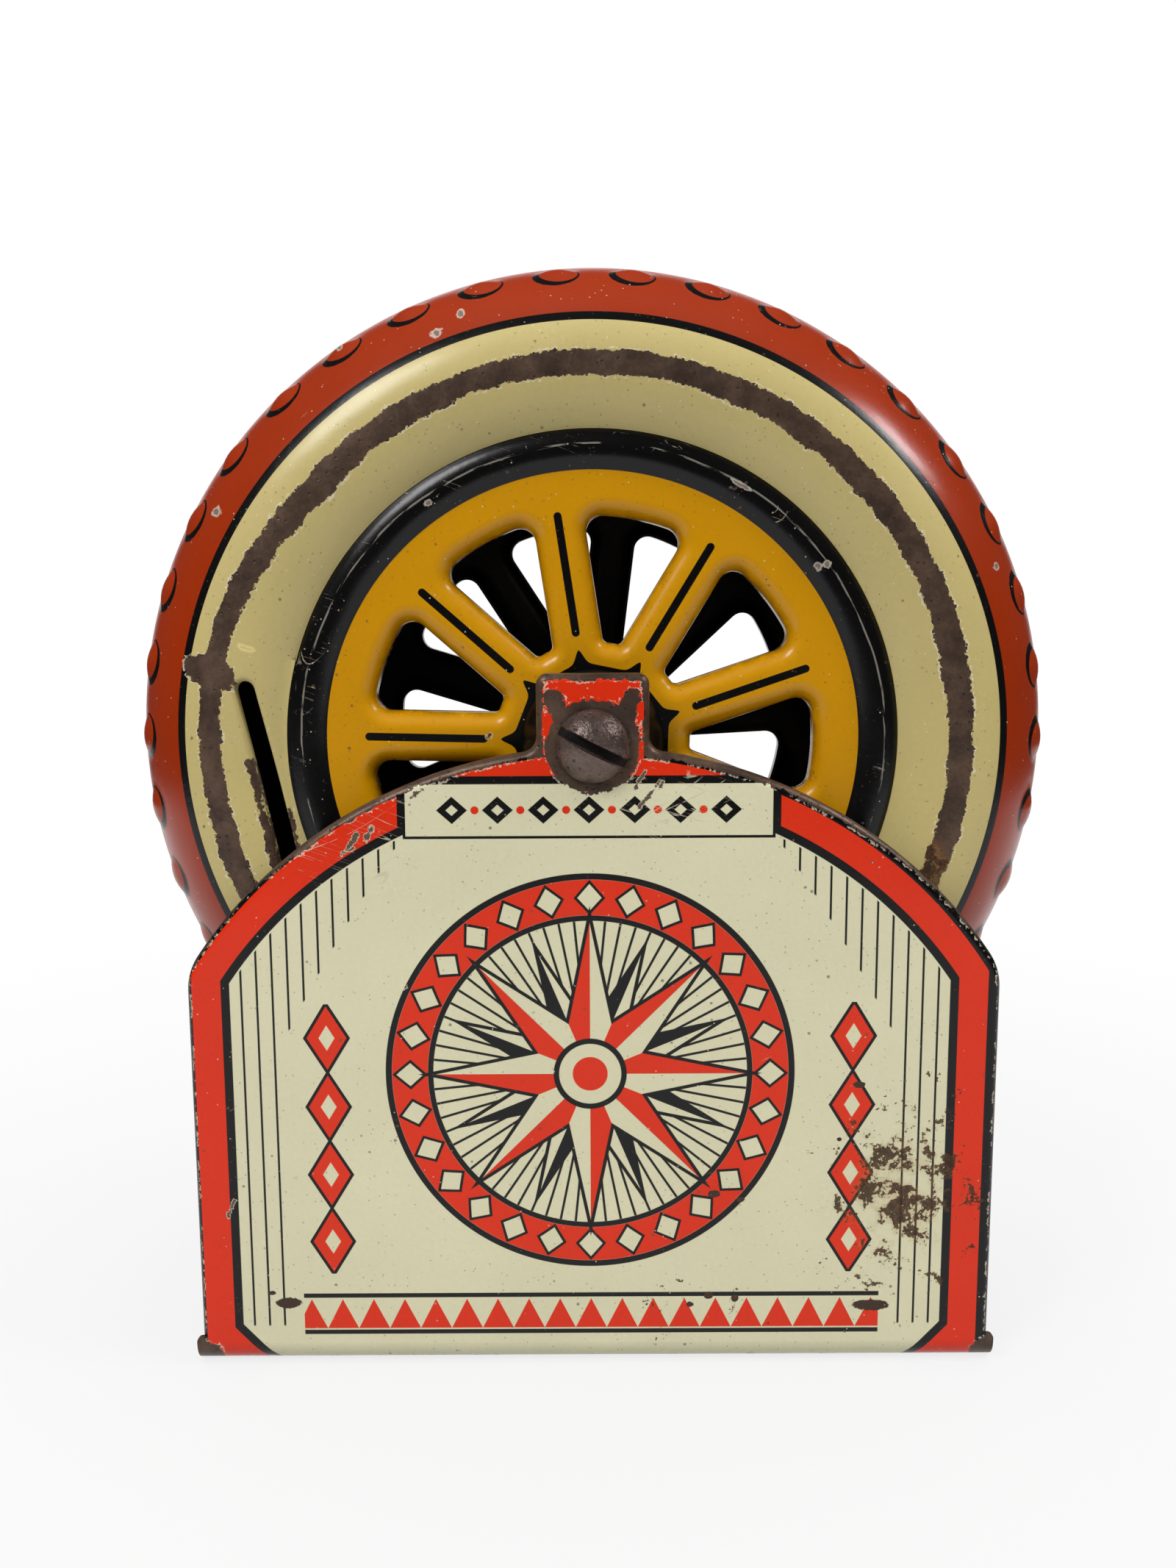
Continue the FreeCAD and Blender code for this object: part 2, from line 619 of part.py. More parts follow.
def seam_lip():
    """The joggled band inside the seam that the other shell is pushed on to."""
    body = new_body("seam_lip")
    sketch = new_sketch(body, "seam_lip_section", "XZ_Plane")
    seat = "Sizes.tread_radius - Sizes.wheel_sheet"
    joggle = f"{seat} - Sizes.seam_clearance"
    draw_outline(sketch, [
        ("inside_front", f"{seat} - Sizes.wheel_sheet", "-Sizes.seam_band", None, 1),
        ("joggle_front", joggle, "-Sizes.seam_band", None, 1),
        ("joggle", joggle, "0", None, 1),
        ("seat", seat, "0", None, 1),
        ("seat_rear", seat, "Sizes.seam_band", None, 1),
        ("inside_rear", f"{seat} - Sizes.wheel_sheet", "Sizes.seam_band", None, 1),
    ])
    revolve(body, "seam_lip_ring", sketch)
    return body


def wheel_shells():
    """Both halves of the wheel, from one pressing: the front one is slotted, the rear one is joggled."""
    lips = coin_slot("coin_slot_lips", "Sizes.wheel_sheet", f"{FACE_DEPTH} - Sizes.coin_slot_lip")
    turned_in = boolean("Common", "coin_slot_turned_in", lips, turned_solid("plain_shell", "0", "0"))
    pressing = boolean("Cut", "pressing", shell_outside(), shell_inside())
    lipped = boolean("Fuse", "pressing_with_lips", pressing, turned_in)
    front = boolean("Cut", "front_wheel_shell", lipped, coin_slot("coin_slot", "0", "0"))
    rear = boolean("Fuse", "rear_wheel_shell", pressing, seam_lip())
    stand_on_axle(front, "front", "Sizes.front_clocking")
    stand_on_axle(rear, "rear", "Sizes.rear_clocking")
    return [front, rear]


pieces = [stand(), axle_screw(), axle_sleeve(), axle_nut()]
pieces += wheel_shells()
doc.recompute()

for item in doc.Objects:
    if "Invalid" in item.State or "Error" in item.State:
        raise RuntimeError(f"{item.Label} failed: {item.State}")
for piece in pieces:
    if piece.Shape.isNull() or not piece.Shape.isValid() or len(piece.Shape.Solids) != 1:
        raise RuntimeError(f"{piece.Label} is not one sound solid")

os.makedirs("parts", exist_ok=True)
for piece in pieces:
    piece.Shape.exportStep(f"parts/{piece.Label}.step")
    box = piece.Shape.BoundBox
    print(f"{piece.Label}: {box.XLength:.2f} x {box.YLength:.2f} x {box.ZLength:.2f} mm")
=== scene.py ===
"""Looks of a lithographed tinplate coin bank: a hollow spoked wheel between the uprights of an arched stand.

Metres in Blender; the sizes below are in millimetres. The front of the bank faces -Y and +Z is up.
"""

import json
import math

import bmesh
import bpy
import numpy as np
from mathutils import Matrix, Vector, geometry


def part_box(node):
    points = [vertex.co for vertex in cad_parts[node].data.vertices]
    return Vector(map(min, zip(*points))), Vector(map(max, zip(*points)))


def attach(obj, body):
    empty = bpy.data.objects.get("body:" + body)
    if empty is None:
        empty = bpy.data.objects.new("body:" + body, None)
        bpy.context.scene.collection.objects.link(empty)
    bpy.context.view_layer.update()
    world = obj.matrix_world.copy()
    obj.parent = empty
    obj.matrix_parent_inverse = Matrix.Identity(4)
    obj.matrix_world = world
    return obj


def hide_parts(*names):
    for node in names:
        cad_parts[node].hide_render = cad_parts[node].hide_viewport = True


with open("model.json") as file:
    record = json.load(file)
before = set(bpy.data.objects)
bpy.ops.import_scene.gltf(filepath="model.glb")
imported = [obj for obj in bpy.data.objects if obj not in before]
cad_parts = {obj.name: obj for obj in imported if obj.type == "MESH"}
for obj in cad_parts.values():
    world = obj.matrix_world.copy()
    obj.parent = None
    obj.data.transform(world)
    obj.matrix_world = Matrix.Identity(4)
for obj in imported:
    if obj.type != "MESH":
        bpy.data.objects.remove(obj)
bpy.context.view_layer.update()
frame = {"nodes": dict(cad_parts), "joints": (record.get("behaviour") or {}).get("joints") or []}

MM = 0.001
axle_joint = next(joint for joint in frame["joints"] if joint["name"] == "wheel_spin")
stand_low, stand_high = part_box("stand")

# Stand.
AXLE_HEIGHT = axle_joint["pos_m"][2] / MM
FRONT_FACE = -stand_low.y / MM
EAR_HALF = stand_high.x / MM
TAB_TOP = stand_high.z / MM
STAND_SHEET = 0.5
EAR_REACH = 0.75
HALF_WIDTH = EAR_HALF - EAR_REACH
ARCH_RADIUS = 60.0
ARCH_BELOW_AXLE = 0.2
REAR_ARCH_DROP = 5.0
ARCH_CENTRE = AXLE_HEIGHT - ARCH_BELOW_AXLE - ARCH_RADIUS
SHOULDER_RADIUS = 8.0
TAB_HALF = 6.9
TAB_CORNER = 1.4
TAB_FILLET = 2.0
EDGE_BEND = 1.0
FLANGE_DEPTH = 1.8
FLANGE_FOOT = 4.0
FLOOR_BEND = 3.0

# Axle.
SHANK_RADIUS = 2.415
SHANK_HOLE = 2.515
HEAD_RADIUS = 4.55
HEAD_HEIGHT = 3.3
HEAD_RIM = 0.5
DRIVER_SLOT_WIDTH = 1.4
DRIVER_SLOT_DEPTH = 1.7
DRIVER_SLOT_ANGLE = -27.0
HEAD_EDGE = 0.12
NUT_HALF = 4.75
NUT_THICKNESS = 3.2
NUT_CORNER = NUT_HALF * 1.34
NUT_CHAMFER_RADIUS = NUT_HALF + 0.25
NUT_CHAMFER_SLOPE = 0.577
NUT_EDGE = 0.02
NUT_MOUTH = 0.3
SCREW_END = 1.5
SCREW_POINT = 0.6
THREAD_LEAD = 1.0
THREAD_PITCH = 1.06
THREAD_DEPTH = 0.42
THREAD_CLEARANCE = 0.05

# Wheel shells.
WHEEL_SHEET = 0.4
TREAD_RADIUS = 60.0
CROWN_WIDTH = 14.0
SEAM_BAND = 2.0
TYRE_JOIN = math.radians(50.0)
RIDGE_RADIUS = TREAD_RADIUS - CROWN_WIDTH
RIDGE_DEPTH = 19.5
TYRE_RUN = RIDGE_DEPTH - SEAM_BAND
TYRE_SPREAD = math.cos(TYRE_JOIN) + math.sin(TYRE_JOIN) - 1
TREAD_ARC = (TYRE_RUN * math.cos(TYRE_JOIN) - CROWN_WIDTH * (1 - math.sin(TYRE_JOIN))) / TYRE_SPREAD
SHOULDER_ARC = (CROWN_WIDTH * math.sin(TYRE_JOIN) - TYRE_RUN * (1 - math.cos(TYRE_JOIN))) / TYRE_SPREAD
SIDEWALL_WIDTH = 7.6
SIDEWALL_DROP = 2.5
BEAD_OUTER = RIDGE_RADIUS - SIDEWALL_WIDTH
BEAD_WIDTH = 5.0
BEAD_INNER = BEAD_OUTER - BEAD_WIDTH
BEAD_HEIGHT = 0.9
FACE_DEPTH = RIDGE_DEPTH - SIDEWALL_DROP
SPOKE_COUNT = 9
SPOKE_PITCH = 360.0 / SPOKE_COUNT
SPOKE_HALF = 3.2
WINDOW_INNER = 12.4
FELLOE_WIDTH = 5.4
WINDOW_OUTER = BEAD_INNER - FELLOE_WIDTH
WINDOW_OUTER_CORNER = 2.0
WINDOW_INNER_CORNER = 0.8
WINDOW_ROLL = 2.2
WINDOW_LIP = 3.7
FRONT_CLOCKING = -1.4
REAR_CLOCKING = -3.0
HUB_MARGIN = 3.4
HUB_FOOT = WINDOW_INNER - HUB_MARGIN
HUB_CLEARANCE = 0.3
HUB_TOP = FRONT_FACE - STAND_SHEET - HUB_CLEARANCE
HUB_TOP_RADIUS = 4.2
HUB_SWELL = 0.3
HUB_BORE = 3.25
KNOB_COUNT = 38
KNOB_RADIUS = 2.9
KNOB_HEIGHT = 0.6
KNOB_LINE = 11.5
KNOB_TILT = math.sqrt(1 - ((KNOB_LINE - SEAM_BAND) / TREAD_ARC) ** 2)
KNOB_PHASE = 0.96
COIN_SLOT_MARGIN = 2.4
COIN_SLOT_RADIUS = BEAD_OUTER + COIN_SLOT_MARGIN
COIN_SLOT_ANGLE = math.radians(193.2)
COIN_SLOT_HALF = 1.15
COIN_SLOT_RUN = 11.35
COIN_SLOT_SHIFT = 4.0
COIN_SLOT_HIGH = COIN_SLOT_RUN - COIN_SLOT_SHIFT
COIN_SLOT_LOW = -COIN_SLOT_RUN - COIN_SLOT_SHIFT
COIN_SLOT_ROLL = 0.7
COIN_SLOT_LIP = 2.0

# The patch of sidewall that is laid again round the coin slot: its two radii, how much of a turn it takes up
# before and after the slot's own angle, and the strip it keeps clear along the slot.
SLOT_PATCH_INNER = 36.4
SLOT_PATCH_OUTER = 46.2
SLOT_PATCH_BEFORE = 0.076
SLOT_PATCH_AFTER = 0.046
SLOT_PATCH_GUARD = 0.35

# How finely the curved sheets are divided. A flat field keeps a narrow guard strip along its bends, so
# that their smooth shading doesn't run into it.
GUARD = 0.1
WHEEL_SEGMENTS = KNOB_COUNT * 14
HUB_SEGMENTS = 180
TURNED_SEGMENTS = 72
POLE_RADIUS = 0.02

# Smooth shading stops at edges sharper than this, in degrees, and edges sharper than the last are softened.
SHEET_CRISP = 40.0
SCREW_CRISP = 34.0
NUT_CRISP = 25.0
SOFTENED_FROM = 38.0

# Print on the wheel, as distances from the axle: spoke stripes, hub, crest of the bead, line round the
# sidewall, tread and worn ring.
STRIPE_START = 13.7
STRIPE_END = 28.1
STRIPE_HALF = 0.5
HUB_PRINT = 9.5
HUB_POINT = 1.4
BEAD_CREST = 36.4
RIM_LINE_INNER = 50.8
RIM_LINE_OUTER = 51.85
TREAD_PRINT = 54.0
WORN_RING = 45.75

# Print on the stand: the cream field, its black line, the red border and the plate under the tab.
PRINT_SHIFT = 0.5
FIELD_HALF = 44.9
FIELD_ARCH = 54.4
FIELD_LINE = 1.1
CORNER_START = 39.6
CORNER_SLOPE = 0.93
CORNER_SHARE = 0.73
RED_HALF = 49.65
RED_ARCH = 59.0
RED_TAB_FOOT = 64.0
PLATE_HALF = 22.5
PLATE_LOW = 69.6
PLATE_HIGH = 76.0
MEDALLION_HEIGHT = 39.2

# Wear is in millimetres, and this much outside it counts as none. What must not show at all is put far off.
# The edges of the print are a little soft.
NO_WEAR = 3.0
FAR_OFF = 9.0
PRINT_SOFT = 0.09
PRINT_SPECULAR = 0.3


def arc_points(centre, radius, start, end, count):
    """Points along an arc from one angle to another, in degrees, without its last point."""
    points = []
    for step in range(count):
        angle = math.radians(start + (end - start) * step / count)
        points.append((centre[0] + radius * math.cos(angle), centre[1] + radius * math.sin(angle)))
    return points


def line_points(start, end, count):
    """Points along a straight edge, without its last point."""
    points = []
    for step in range(count):
        share = step / count
        points.append((start[0] + (end[0] - start[0]) * share, start[1] + (end[1] - start[1]) * share))
    return points


def rolled(radius, steps):
    """How far in and how deep each step of an edge's quarter turn lies."""
    for step in range(steps + 1):
        turn = math.radians(90 * step / steps)
        yield radius * (1 - math.sin(turn)), radius * (1 - math.cos(turn))


def inside_loop(loop, places):
    """Which of the places lie inside a closed loop, both in a plane."""
    loop = np.array(loop)
    following = np.roll(loop, -1, axis=0)
    x = places[:, 0, None]
    y = places[:, 1, None]
    spans = (loop[:, 1] > y) != (following[:, 1] > y)
    rise = following[:, 1] - loop[:, 1]
    rise = np.where(rise == 0, 1e-12, rise)
    crossing = loop[:, 0] + (y - loop[:, 1]) * (following[:, 0] - loop[:, 0]) / rise
    return np.sum(spans & (x < crossing), axis=1) % 2 == 1


def crisp_edges(mesh, degrees):
    """Smooth shading stops at edges sharper than an angle and at the raw edges of a sheet."""
    mesh.set_sharp_from_angle(angle=math.radians(degrees))
    used = np.empty(len(mesh.loops), dtype=np.int32)
    mesh.loops.foreach_get("edge_index", used)
    sharp = mesh.attributes.get("sharp_edge") or mesh.attributes.new("sharp_edge", "BOOLEAN", "EDGE")
    marks = np.empty(len(mesh.edges), dtype=bool)
    sharp.data.foreach_get("value", marks)
    marks |= np.bincount(used, minlength=len(mesh.edges)) == 1
    sharp.data.foreach_set("value", marks)


class Pressing:
    """Points and faces of one thin sheet, gathered ring by ring. Rings run counter-clockwise seen from
    outside, and faces are laid from an outer ring to an inner one, so that they point outwards."""

    def __init__(self):
        self.points = []
        self.faces = []

    def ring(self, places):
        first = len(self.points)
        self.points.extend(places)
        return list(range(first, len(self.points)))

    def bridge(self, outer, inner, closed=True, skip=()):
        count = len(outer)
        for start in range(count if closed else count - 1):
            end = (start + 1) % count
            if start not in skip:
                self.faces.append((outer[start], outer[end], inner[end], inner[start]))

    def stack(self, rows, closed=True, outwards=False):
        """Bridges each row to the next. The rows run inwards, unless they are said to run outwards."""
        for first, second in zip(rows, rows[1:]):
            outer, inner = (second, first) if outwards else (first, second)
            self.bridge(outer, inner, closed)

    def fill(self, loops, loose=(), plane=(0, 1)):
        """Triangles between closed loops in a plane: the first is the outside and the others are holes."""
        members = [index for loop in loops for index in loop] + list(loose)
        flat = [Vector((self.points[index][plane[0]], self.points[index][plane[1]])) for index in members]
        edges = []
        first = 0
        for loop in loops:
            size = len(loop)
            edges += [(first + step, first + (step + 1) % size) for step in range(size)]
            first += size
        found = geometry.delaunay_2d_cdt(flat, edges, [], 0, 1e-7)
        corners = np.array([(place.x, place.y) for place in found[0]])
        triangles = np.array(found[2])
        middles = corners[triangles].mean(axis=1)
        depth = np.zeros(len(triangles), dtype=int)
        for loop in loops:
            outline = [(self.points[index][plane[0]], self.points[index][plane[1]]) for index in loop]
            depth += inside_loop(outline, middles)
        for triangle in triangles[depth == 1]:
            face = [members[found[3][corner][0]] for corner in triangle]
            a, b, c = (corners[corner] for corner in triangle)
            if (b[0] - a[0]) * (c[1] - a[1]) - (b[1] - a[1]) * (c[0] - a[0]) < 0:
                face.reverse()
            self.faces.append(tuple(face))

    def mesh(self, name, sharp=SHEET_CRISP):
        """A smooth mesh of the sheet, with its stray points dropped and its joins closed."""
        built = bmesh.new()
        corners = [built.verts.new(place) for place in self.points]
        for face in self.faces:
            built.faces.new([corners[index] for index in face])
        stray = [corner for corner in built.verts if not corner.link_faces]
        bmesh.ops.delete(built, geom=stray, context="VERTS")
        bmesh.ops.remove_doubles(built, verts=built.verts, dist=1e-4)
        mesh = bpy.data.meshes.new(name)
        built.to_mesh(mesh)
        built.free()
        mesh.polygons.foreach_set("use_smooth", [True] * len(mesh.polygons))
        crisp_edges(mesh, sharp)
        return mesh


def add_object(name, data):
    added = bpy.data.objects.new(name, data)
    bpy.context.scene.collection.objects.link(added)
    return added


def made_mesh(holder):
    """The plain mesh that an object's modifiers make. The object itself is removed."""
    bpy.context.view_layer.update()
    evaluated = holder.evaluated_get(bpy.context.evaluated_depsgraph_get())
    made = bpy.data.meshes.new_from_object(evaluated)
    bpy.data.objects.remove(holder)
    return made


def place_piece(name, mesh, matrix, slots):
    """An object for a mesh drawn in millimetres, with its place worked into the mesh."""
    mesh.transform(matrix)
    mesh.update()
    piece = add_object(name, mesh)
    mesh.materials.clear()
    for material in slots:
        mesh.materials.append(material)
    return piece


def thicken(piece, thickness):
    """Gives a sheet its thickness inwards; the inside and the cut edges take the second material."""
    wall = piece.modifiers.new("sheet_thickness", "SOLIDIFY")
    wall.thickness = thickness * MM
    wall.offset = -1.0
    wall.material_offset = 1
    wall.material_offset_rim = 1


def facing_axle(facing, clocking=0.0):
    """Takes a piece drawn along its own +Z, in millimetres, to the axle's line."""
    turn = {"front": 0.0, "rear": 180.0}[facing]
    place = Matrix.Translation((0, 0, AXLE_HEIGHT * MM))
    upright = Matrix.Rotation(math.radians(turn), 4, "Z") @ Matrix.Rotation(math.radians(90), 4, "X")
    return place @ upright @ Matrix.Rotation(math.radians(clocking), 4, "Z") @ Matrix.Scale(MM, 4)


# Node arithmetic.
def feed(socket, value):
    """Sets a node's input to a plain value, or links it to a field."""
    if isinstance(value, Field):
        value.tree.links.new(value.socket, socket)
    else:
        socket.default_value = value


def feed_inputs(node, values):
    """Feeds a node's inputs, by name or by number."""
    for label, value in values.items():
        feed(node.inputs[label], value)


def add_node(tree, kind, inputs, output=0, **settings):
    """Adds a node with its settings and inputs. Gives back one of its outputs as a field."""
    node = tree.nodes.new(kind)
    for label, value in settings.items():
        setattr(node, label, value)
    feed_inputs(node, inputs)
    return Field(node.outputs[output])


def by_node(operation):
    """A method that works a field out with others, by one node."""
    return lambda field, *others: field.math(operation, *others)


class Field:
    """A value that changes over a surface. Arithmetic on it adds the nodes that work it out."""

    def __init__(self, socket):
        self.socket = socket
        self.tree = socket.id_data

    def math(self, operation, *others):
        values = dict(enumerate((self, *others)))
        return add_node(self.tree, "ShaderNodeMath", values, operation=operation)

    __add__ = by_node("ADD")
    __radd__ = __add__
    __sub__ = by_node("SUBTRACT")
    __mul__ = by_node("MULTIPLY")
    __rmul__ = __mul__
    __truediv__ = by_node("DIVIDE")
    size = by_node("ABSOLUTE")
    at_least = by_node("MAXIMUM")
    at_most = by_node("MINIMUM")

    def __rsub__(self, other):
        return self.math("MULTIPLY_ADD", -1.0, other)

    def within(self, low, high):
        return self.at_least(low).at_most(high)

    def off_nearest(self):
        """What is left over from the nearest whole number."""
        return self - self.math("ROUND")

    def below(self, edge, soft=PRINT_SOFT):
        """1 under the edge and 0 above it, with a soft step between."""
        values = {
            "Value": self - edge,
            "From Min": -soft / 2,
            "From Max": soft / 2,
            "To Min": 1.0,
            "To Max": 0.0,
        }
        return add_node(self.tree, "ShaderNodeMapRange", values, "Result", interpolation_type="SMOOTHSTEP")

    def above(self, edge, soft=PRINT_SOFT):
        return 1.0 - self.below(edge, soft)

    def between(self, low, high, soft=PRINT_SOFT):
        return self.above(low, soft) * self.below(high, soft)


def reach(a, b):
    """The length of a run a across and b along."""
    return (a * a + b * b).math("SQRT")


def bearing(up, across):
    """The angle of a place, in degrees."""
    return up.math("ARCTAN2", across) * (180 / math.pi)


def parts_of(vector):
    node = vector.tree.nodes.new("ShaderNodeSeparateXYZ")
    feed(node.inputs[0], vector)
    return [Field(socket) for socket in node.outputs]


def vector_of(x, y, z):
    return add_node(x.tree, "ShaderNodeCombineXYZ", {0: x, 1: y, 2: z})


def stretched(vector, factors):
    return add_node(vector.tree, "ShaderNodeVectorMath", {0: vector, 1: factors}, operation="MULTIPLY")


def turned(vector, degrees):
    values = {"Vector": vector, "Rotation": [math.radians(angle) for angle in degrees]}
    return add_node(vector.tree, "ShaderNodeVectorRotate", values, rotation_type="EULER_XYZ")


def noise(place, scale, detail=3.0, roughness=0.55):
    values = {"Vector": place, "Scale": scale, "Detail": detail, "Roughness": roughness}
    return add_node(place.tree, "ShaderNodeTexNoise", values)


def specks(place, scale):
    """How far each place is from the nearest of many scattered specks."""
    return add_node(place.tree, "ShaderNodeTexVoronoi", {"Vector": place, "Scale": scale}, "Distance")


def ragged_edge(place):
    """What makes the edges of chips, scratches and spots ragged."""
    return noise(place, 1.4, 4.0, 0.7) - 0.5


def ink(red, green, blue):
    """A colour as it is seen on screen, turned into the light that it stands for."""
    shares = (channel / 255 for channel in (red, green, blue))
    light = [share / 12.92 if share <= 0.04045 else ((share + 0.055) / 1.055) ** 2.4 for share in shares]
    return (*light, 1.0)


def printed(under, mask, colour):
    """Lays a colour over another where the mask is 1."""
    return add_node(mask.tree, "ShaderNodeMix", {0: mask, 6: under, 7: colour}, 2, data_type="RGBA")


class Print:
    """Colours laid on a surface one over another."""

    def __init__(self, ground):
        self.colour = ground

    def lay(self, mask, colour):
        self.colour = printed(self.colour, mask, colour)


def toned(colour, tone):
    """A colour made lighter or darker by a value round 1."""
    return add_node(tone.tree, "ShaderNodeVectorMath", {0: colour, "Scale": tone}, operation="SCALE")


def new_group(name, inputs, outputs):
    """An empty shader group with named sockets, and its inputs as fields."""
    tree = bpy.data.node_groups.new(name, "ShaderNodeTree")
    kinds = {"value": "NodeSocketFloat", "vector": "NodeSocketVector", "colour": "NodeSocketColor"}
    for label, kind in inputs:
        tree.interface.new_socket(name=label, in_out="INPUT", socket_type=kinds[kind])
    for label, kind in outputs:
        tree.interface.new_socket(name=label, in_out="OUTPUT", socket_type=kinds[kind])
    entry = tree.nodes.new("NodeGroupInput")
    leave = tree.nodes.new("NodeGroupOutput")
    return tree, {label: Field(entry.outputs[label]) for label, _ in inputs}, leave


def use_group(tree, group, **values):
    """Places a group in a tree; the values are named after its inputs."""
    node = tree.nodes.new("ShaderNodeGroup")
    node.node_tree = group
    feed_inputs(node, values)
    return {socket.name: Field(socket) for socket in node.outputs}


def tarnish_group():
    """Bare tin or steel gone brown: mottled, pitted, and rusty where it is told to be."""
    tree, given, leave = new_group(
        "tarnish",
        [("Place", "vector"), ("Metal", "colour"), ("Rust", "value")],
        [("Color", "colour"), ("Roughness", "value"), ("Height", "value")],
    )
    place = given["Place"]
    clouds = noise(place, 0.35, 5.0, 0.65)
    grain = noise(place, 2.6, 4.0, 0.6)
    surface = Print(toned(given["Metal"], clouds * 1.3 + grain * 0.5 + 0.1))
    blotches = noise(place, 0.16, 5.0, 0.7).above(0.52, 0.22)
    surface.lay(blotches * 0.5, ink(38, 33, 31))
    pits = specks(place, 0.9).below(0.16, 0.12)
    surface.lay(pits * 0.55, ink(30, 22, 17))
    rusty = (given["Rust"] + (clouds - 0.5) * 0.9 + (grain - 0.5) * 0.7).above(0.5, 0.25)
    surface.lay(rusty, printed(ink(66, 35, 18), grain, ink(134, 78, 34)))
    feed_inputs(leave, {
        "Color": surface.colour,
        "Roughness": grain * 0.20 + clouds * 0.16 + rusty * 0.25 + 0.18,
        "Height": (grain - 0.5) * 0.035 + rusty * grain * 0.05 - pits * 0.03,
    })
    return tree


def aged_print_group(tarnish):
    """Printed tin as a hundred years leave it: toned, dusty, scratched, chipped to bare metal, rusted.
    Worn is in millimetres: how far a place lies inside the worn-off print, below 0 outside it."""
    tree, given, leave = new_group(
        "aged_print",
        [("Print", "colour"), ("Place", "vector"), ("Worn", "value"), ("Rusted", "value"),
         ("Scratched", "value")],
        [("Color", "colour"), ("Roughness", "value"), ("Metallic", "value"), ("Height", "value")],
    )
    place = given["Place"]
    clouds = noise(place, 0.07, 3.0)
    patches = noise(place, 0.3, 6.0, 0.62)
    grain = noise(place, 1.7, 4.0, 0.6)
    surface = Print(toned(given["Print"], clouds * 0.16 + grain * 0.14 + 0.85))
    dirt = specks(place, 0.34).below(0.07, 0.05) * patches.above(0.5, 0.06)
    flecks = specks(place, 1.1).below(0.13, 0.06) * patches.above(0.48, 0.08)
    surface.lay((dirt * 0.7).at_least(flecks * 0.4), ink(84, 66, 46))
    dust = specks(place, 0.9).below(0.085, 0.04) * patches.above(0.53, 0.05)
    surface.lay(dust * 0.55, ink(226, 214, 190))

    hairs = []
    for degrees, run in (((20, 35, 10), 0.04), ((-30, 65, 50), 0.03)):
        drawn_out = stretched(turned(place, degrees), (run, 1.0, run))
        hairs.append((noise(drawn_out, 1.0, 1.0) - 0.5).size().below(0.005, 0.005))
    scratches = hairs[0].at_least(hairs[1]) * (given["Scratched"] + (patches - 0.5) * 1.3).above(0.5, 0.2)
    surface.lay(scratches * 0.7, ink(196, 186, 160))

    chip_scale = 0.06
    chip = 0.3 - specks(place, chip_scale) / chip_scale
    wear = given["Worn"].at_least(chip) + (patches - 0.5) * 1.7 + (grain - 0.5) * 1.3
    bare = wear.above(0.0)
    chip_edge = wear.between(-0.2, 0.0) * (patches + grain).above(1.03, 0.1)
    surface.lay(chip_edge * 0.6, ink(222, 212, 188))
    metal = use_group(tree, tarnish, Place=place, Metal=ink(94, 74, 61), Rust=given["Rusted"] * 0.8)
    surface.lay(bare, metal["Color"])
    stain = (given["Rusted"] + (patches - 0.5) * 1.2).above(0.55, 0.3)
    surface.lay(stain * 0.45, ink(164, 124, 66))
    rust = (given["Rusted"] + (patches - 0.5) * 2.4 + (grain - 0.5) * 1.1).above(0.62, 0.08)
    surface.lay(rust * 0.94, printed(ink(42, 26, 16), grain.above(0.54, 0.2), ink(84, 50, 24)))
    gloss = noise(place, 0.12, 4.0, 0.7) * 0.16 + grain * 0.06 + 0.13
    relief = metal["Height"] * bare - bare * 0.03 - scratches * 0.012 + rust * grain * 0.05
    feed_inputs(leave, {
        "Color": surface.colour,
        "Roughness": gloss + bare * (metal["Roughness"] - gloss) + rust * 0.3 + scratches * 0.1,
        "Metallic": bare * (1.0 - rust) * 0.4,
        "Height": relief + (grain - 0.5) * 0.012,
    })
    return tree


def new_material(name):
    material = bpy.data.materials.new(name)
    material.use_nodes = True
    tree = material.node_tree
    return material, tree, tree.nodes["Principled BSDF"]


def millimetre_place(tree):
    node = tree.nodes.new("ShaderNodeTexCoord")
    return stretched(Field(node.outputs["Object"]), (1 / MM, 1 / MM, 1 / MM))


def raise_surface(tree, shader, height):
    """Bump from a height in millimetres."""
    raised = add_node(tree, "ShaderNodeBump", {"Strength": 1.0, "Distance": MM, "Height": height}, "Normal")
    feed(shader.inputs["Normal"], raised)


def finish_print(tree, shader, aged, waves):
    """Joins the aged print to the shader, with the slow waves of hand-pressed sheet in its gloss."""
    feed_inputs(shader, {
        "Base Color": aged["Color"],
        "Roughness": aged["Roughness"],
        "Metallic": aged["Metallic"],
        "Specular IOR Level": PRINT_SPECULAR,
    })
    raise_surface(tree, shader, aged["Height"] + waves)


CREAM = ink(188, 172, 114)
BLACK = ink(10, 9, 9)
TYRE_RED = ink(146, 42, 3)
YELLOW = ink(197, 138, 1)
STAND_RED = ink(214, 44, 8)
STAND_CREAM = ink(212, 208, 174)

# Bold scratches on the front upright: from where, to where and how wide.
FRONT_SCRATCHES = (
    ((5.2, 75.6), (6.3, 77.4), 0.2),
    ((5.6, 73.0), (8.2, 76.2), 0.16),
    ((7.9, 75.3), (8.6, 76.1), 0.12),
    ((-22.3, 74.3), (-20.8, 75.4), 0.16),
    ((-30.2, 68.0), (-29.0, 69.9), 0.3),
    ((-27.9, 69.2), (-27.2, 70.5), 0.28),
    ((-30.9, 67.4), (-29.4, 68.2), 0.1),
    ((-46.8, 20.5), (-45.9, 22.6), 0.12),
)

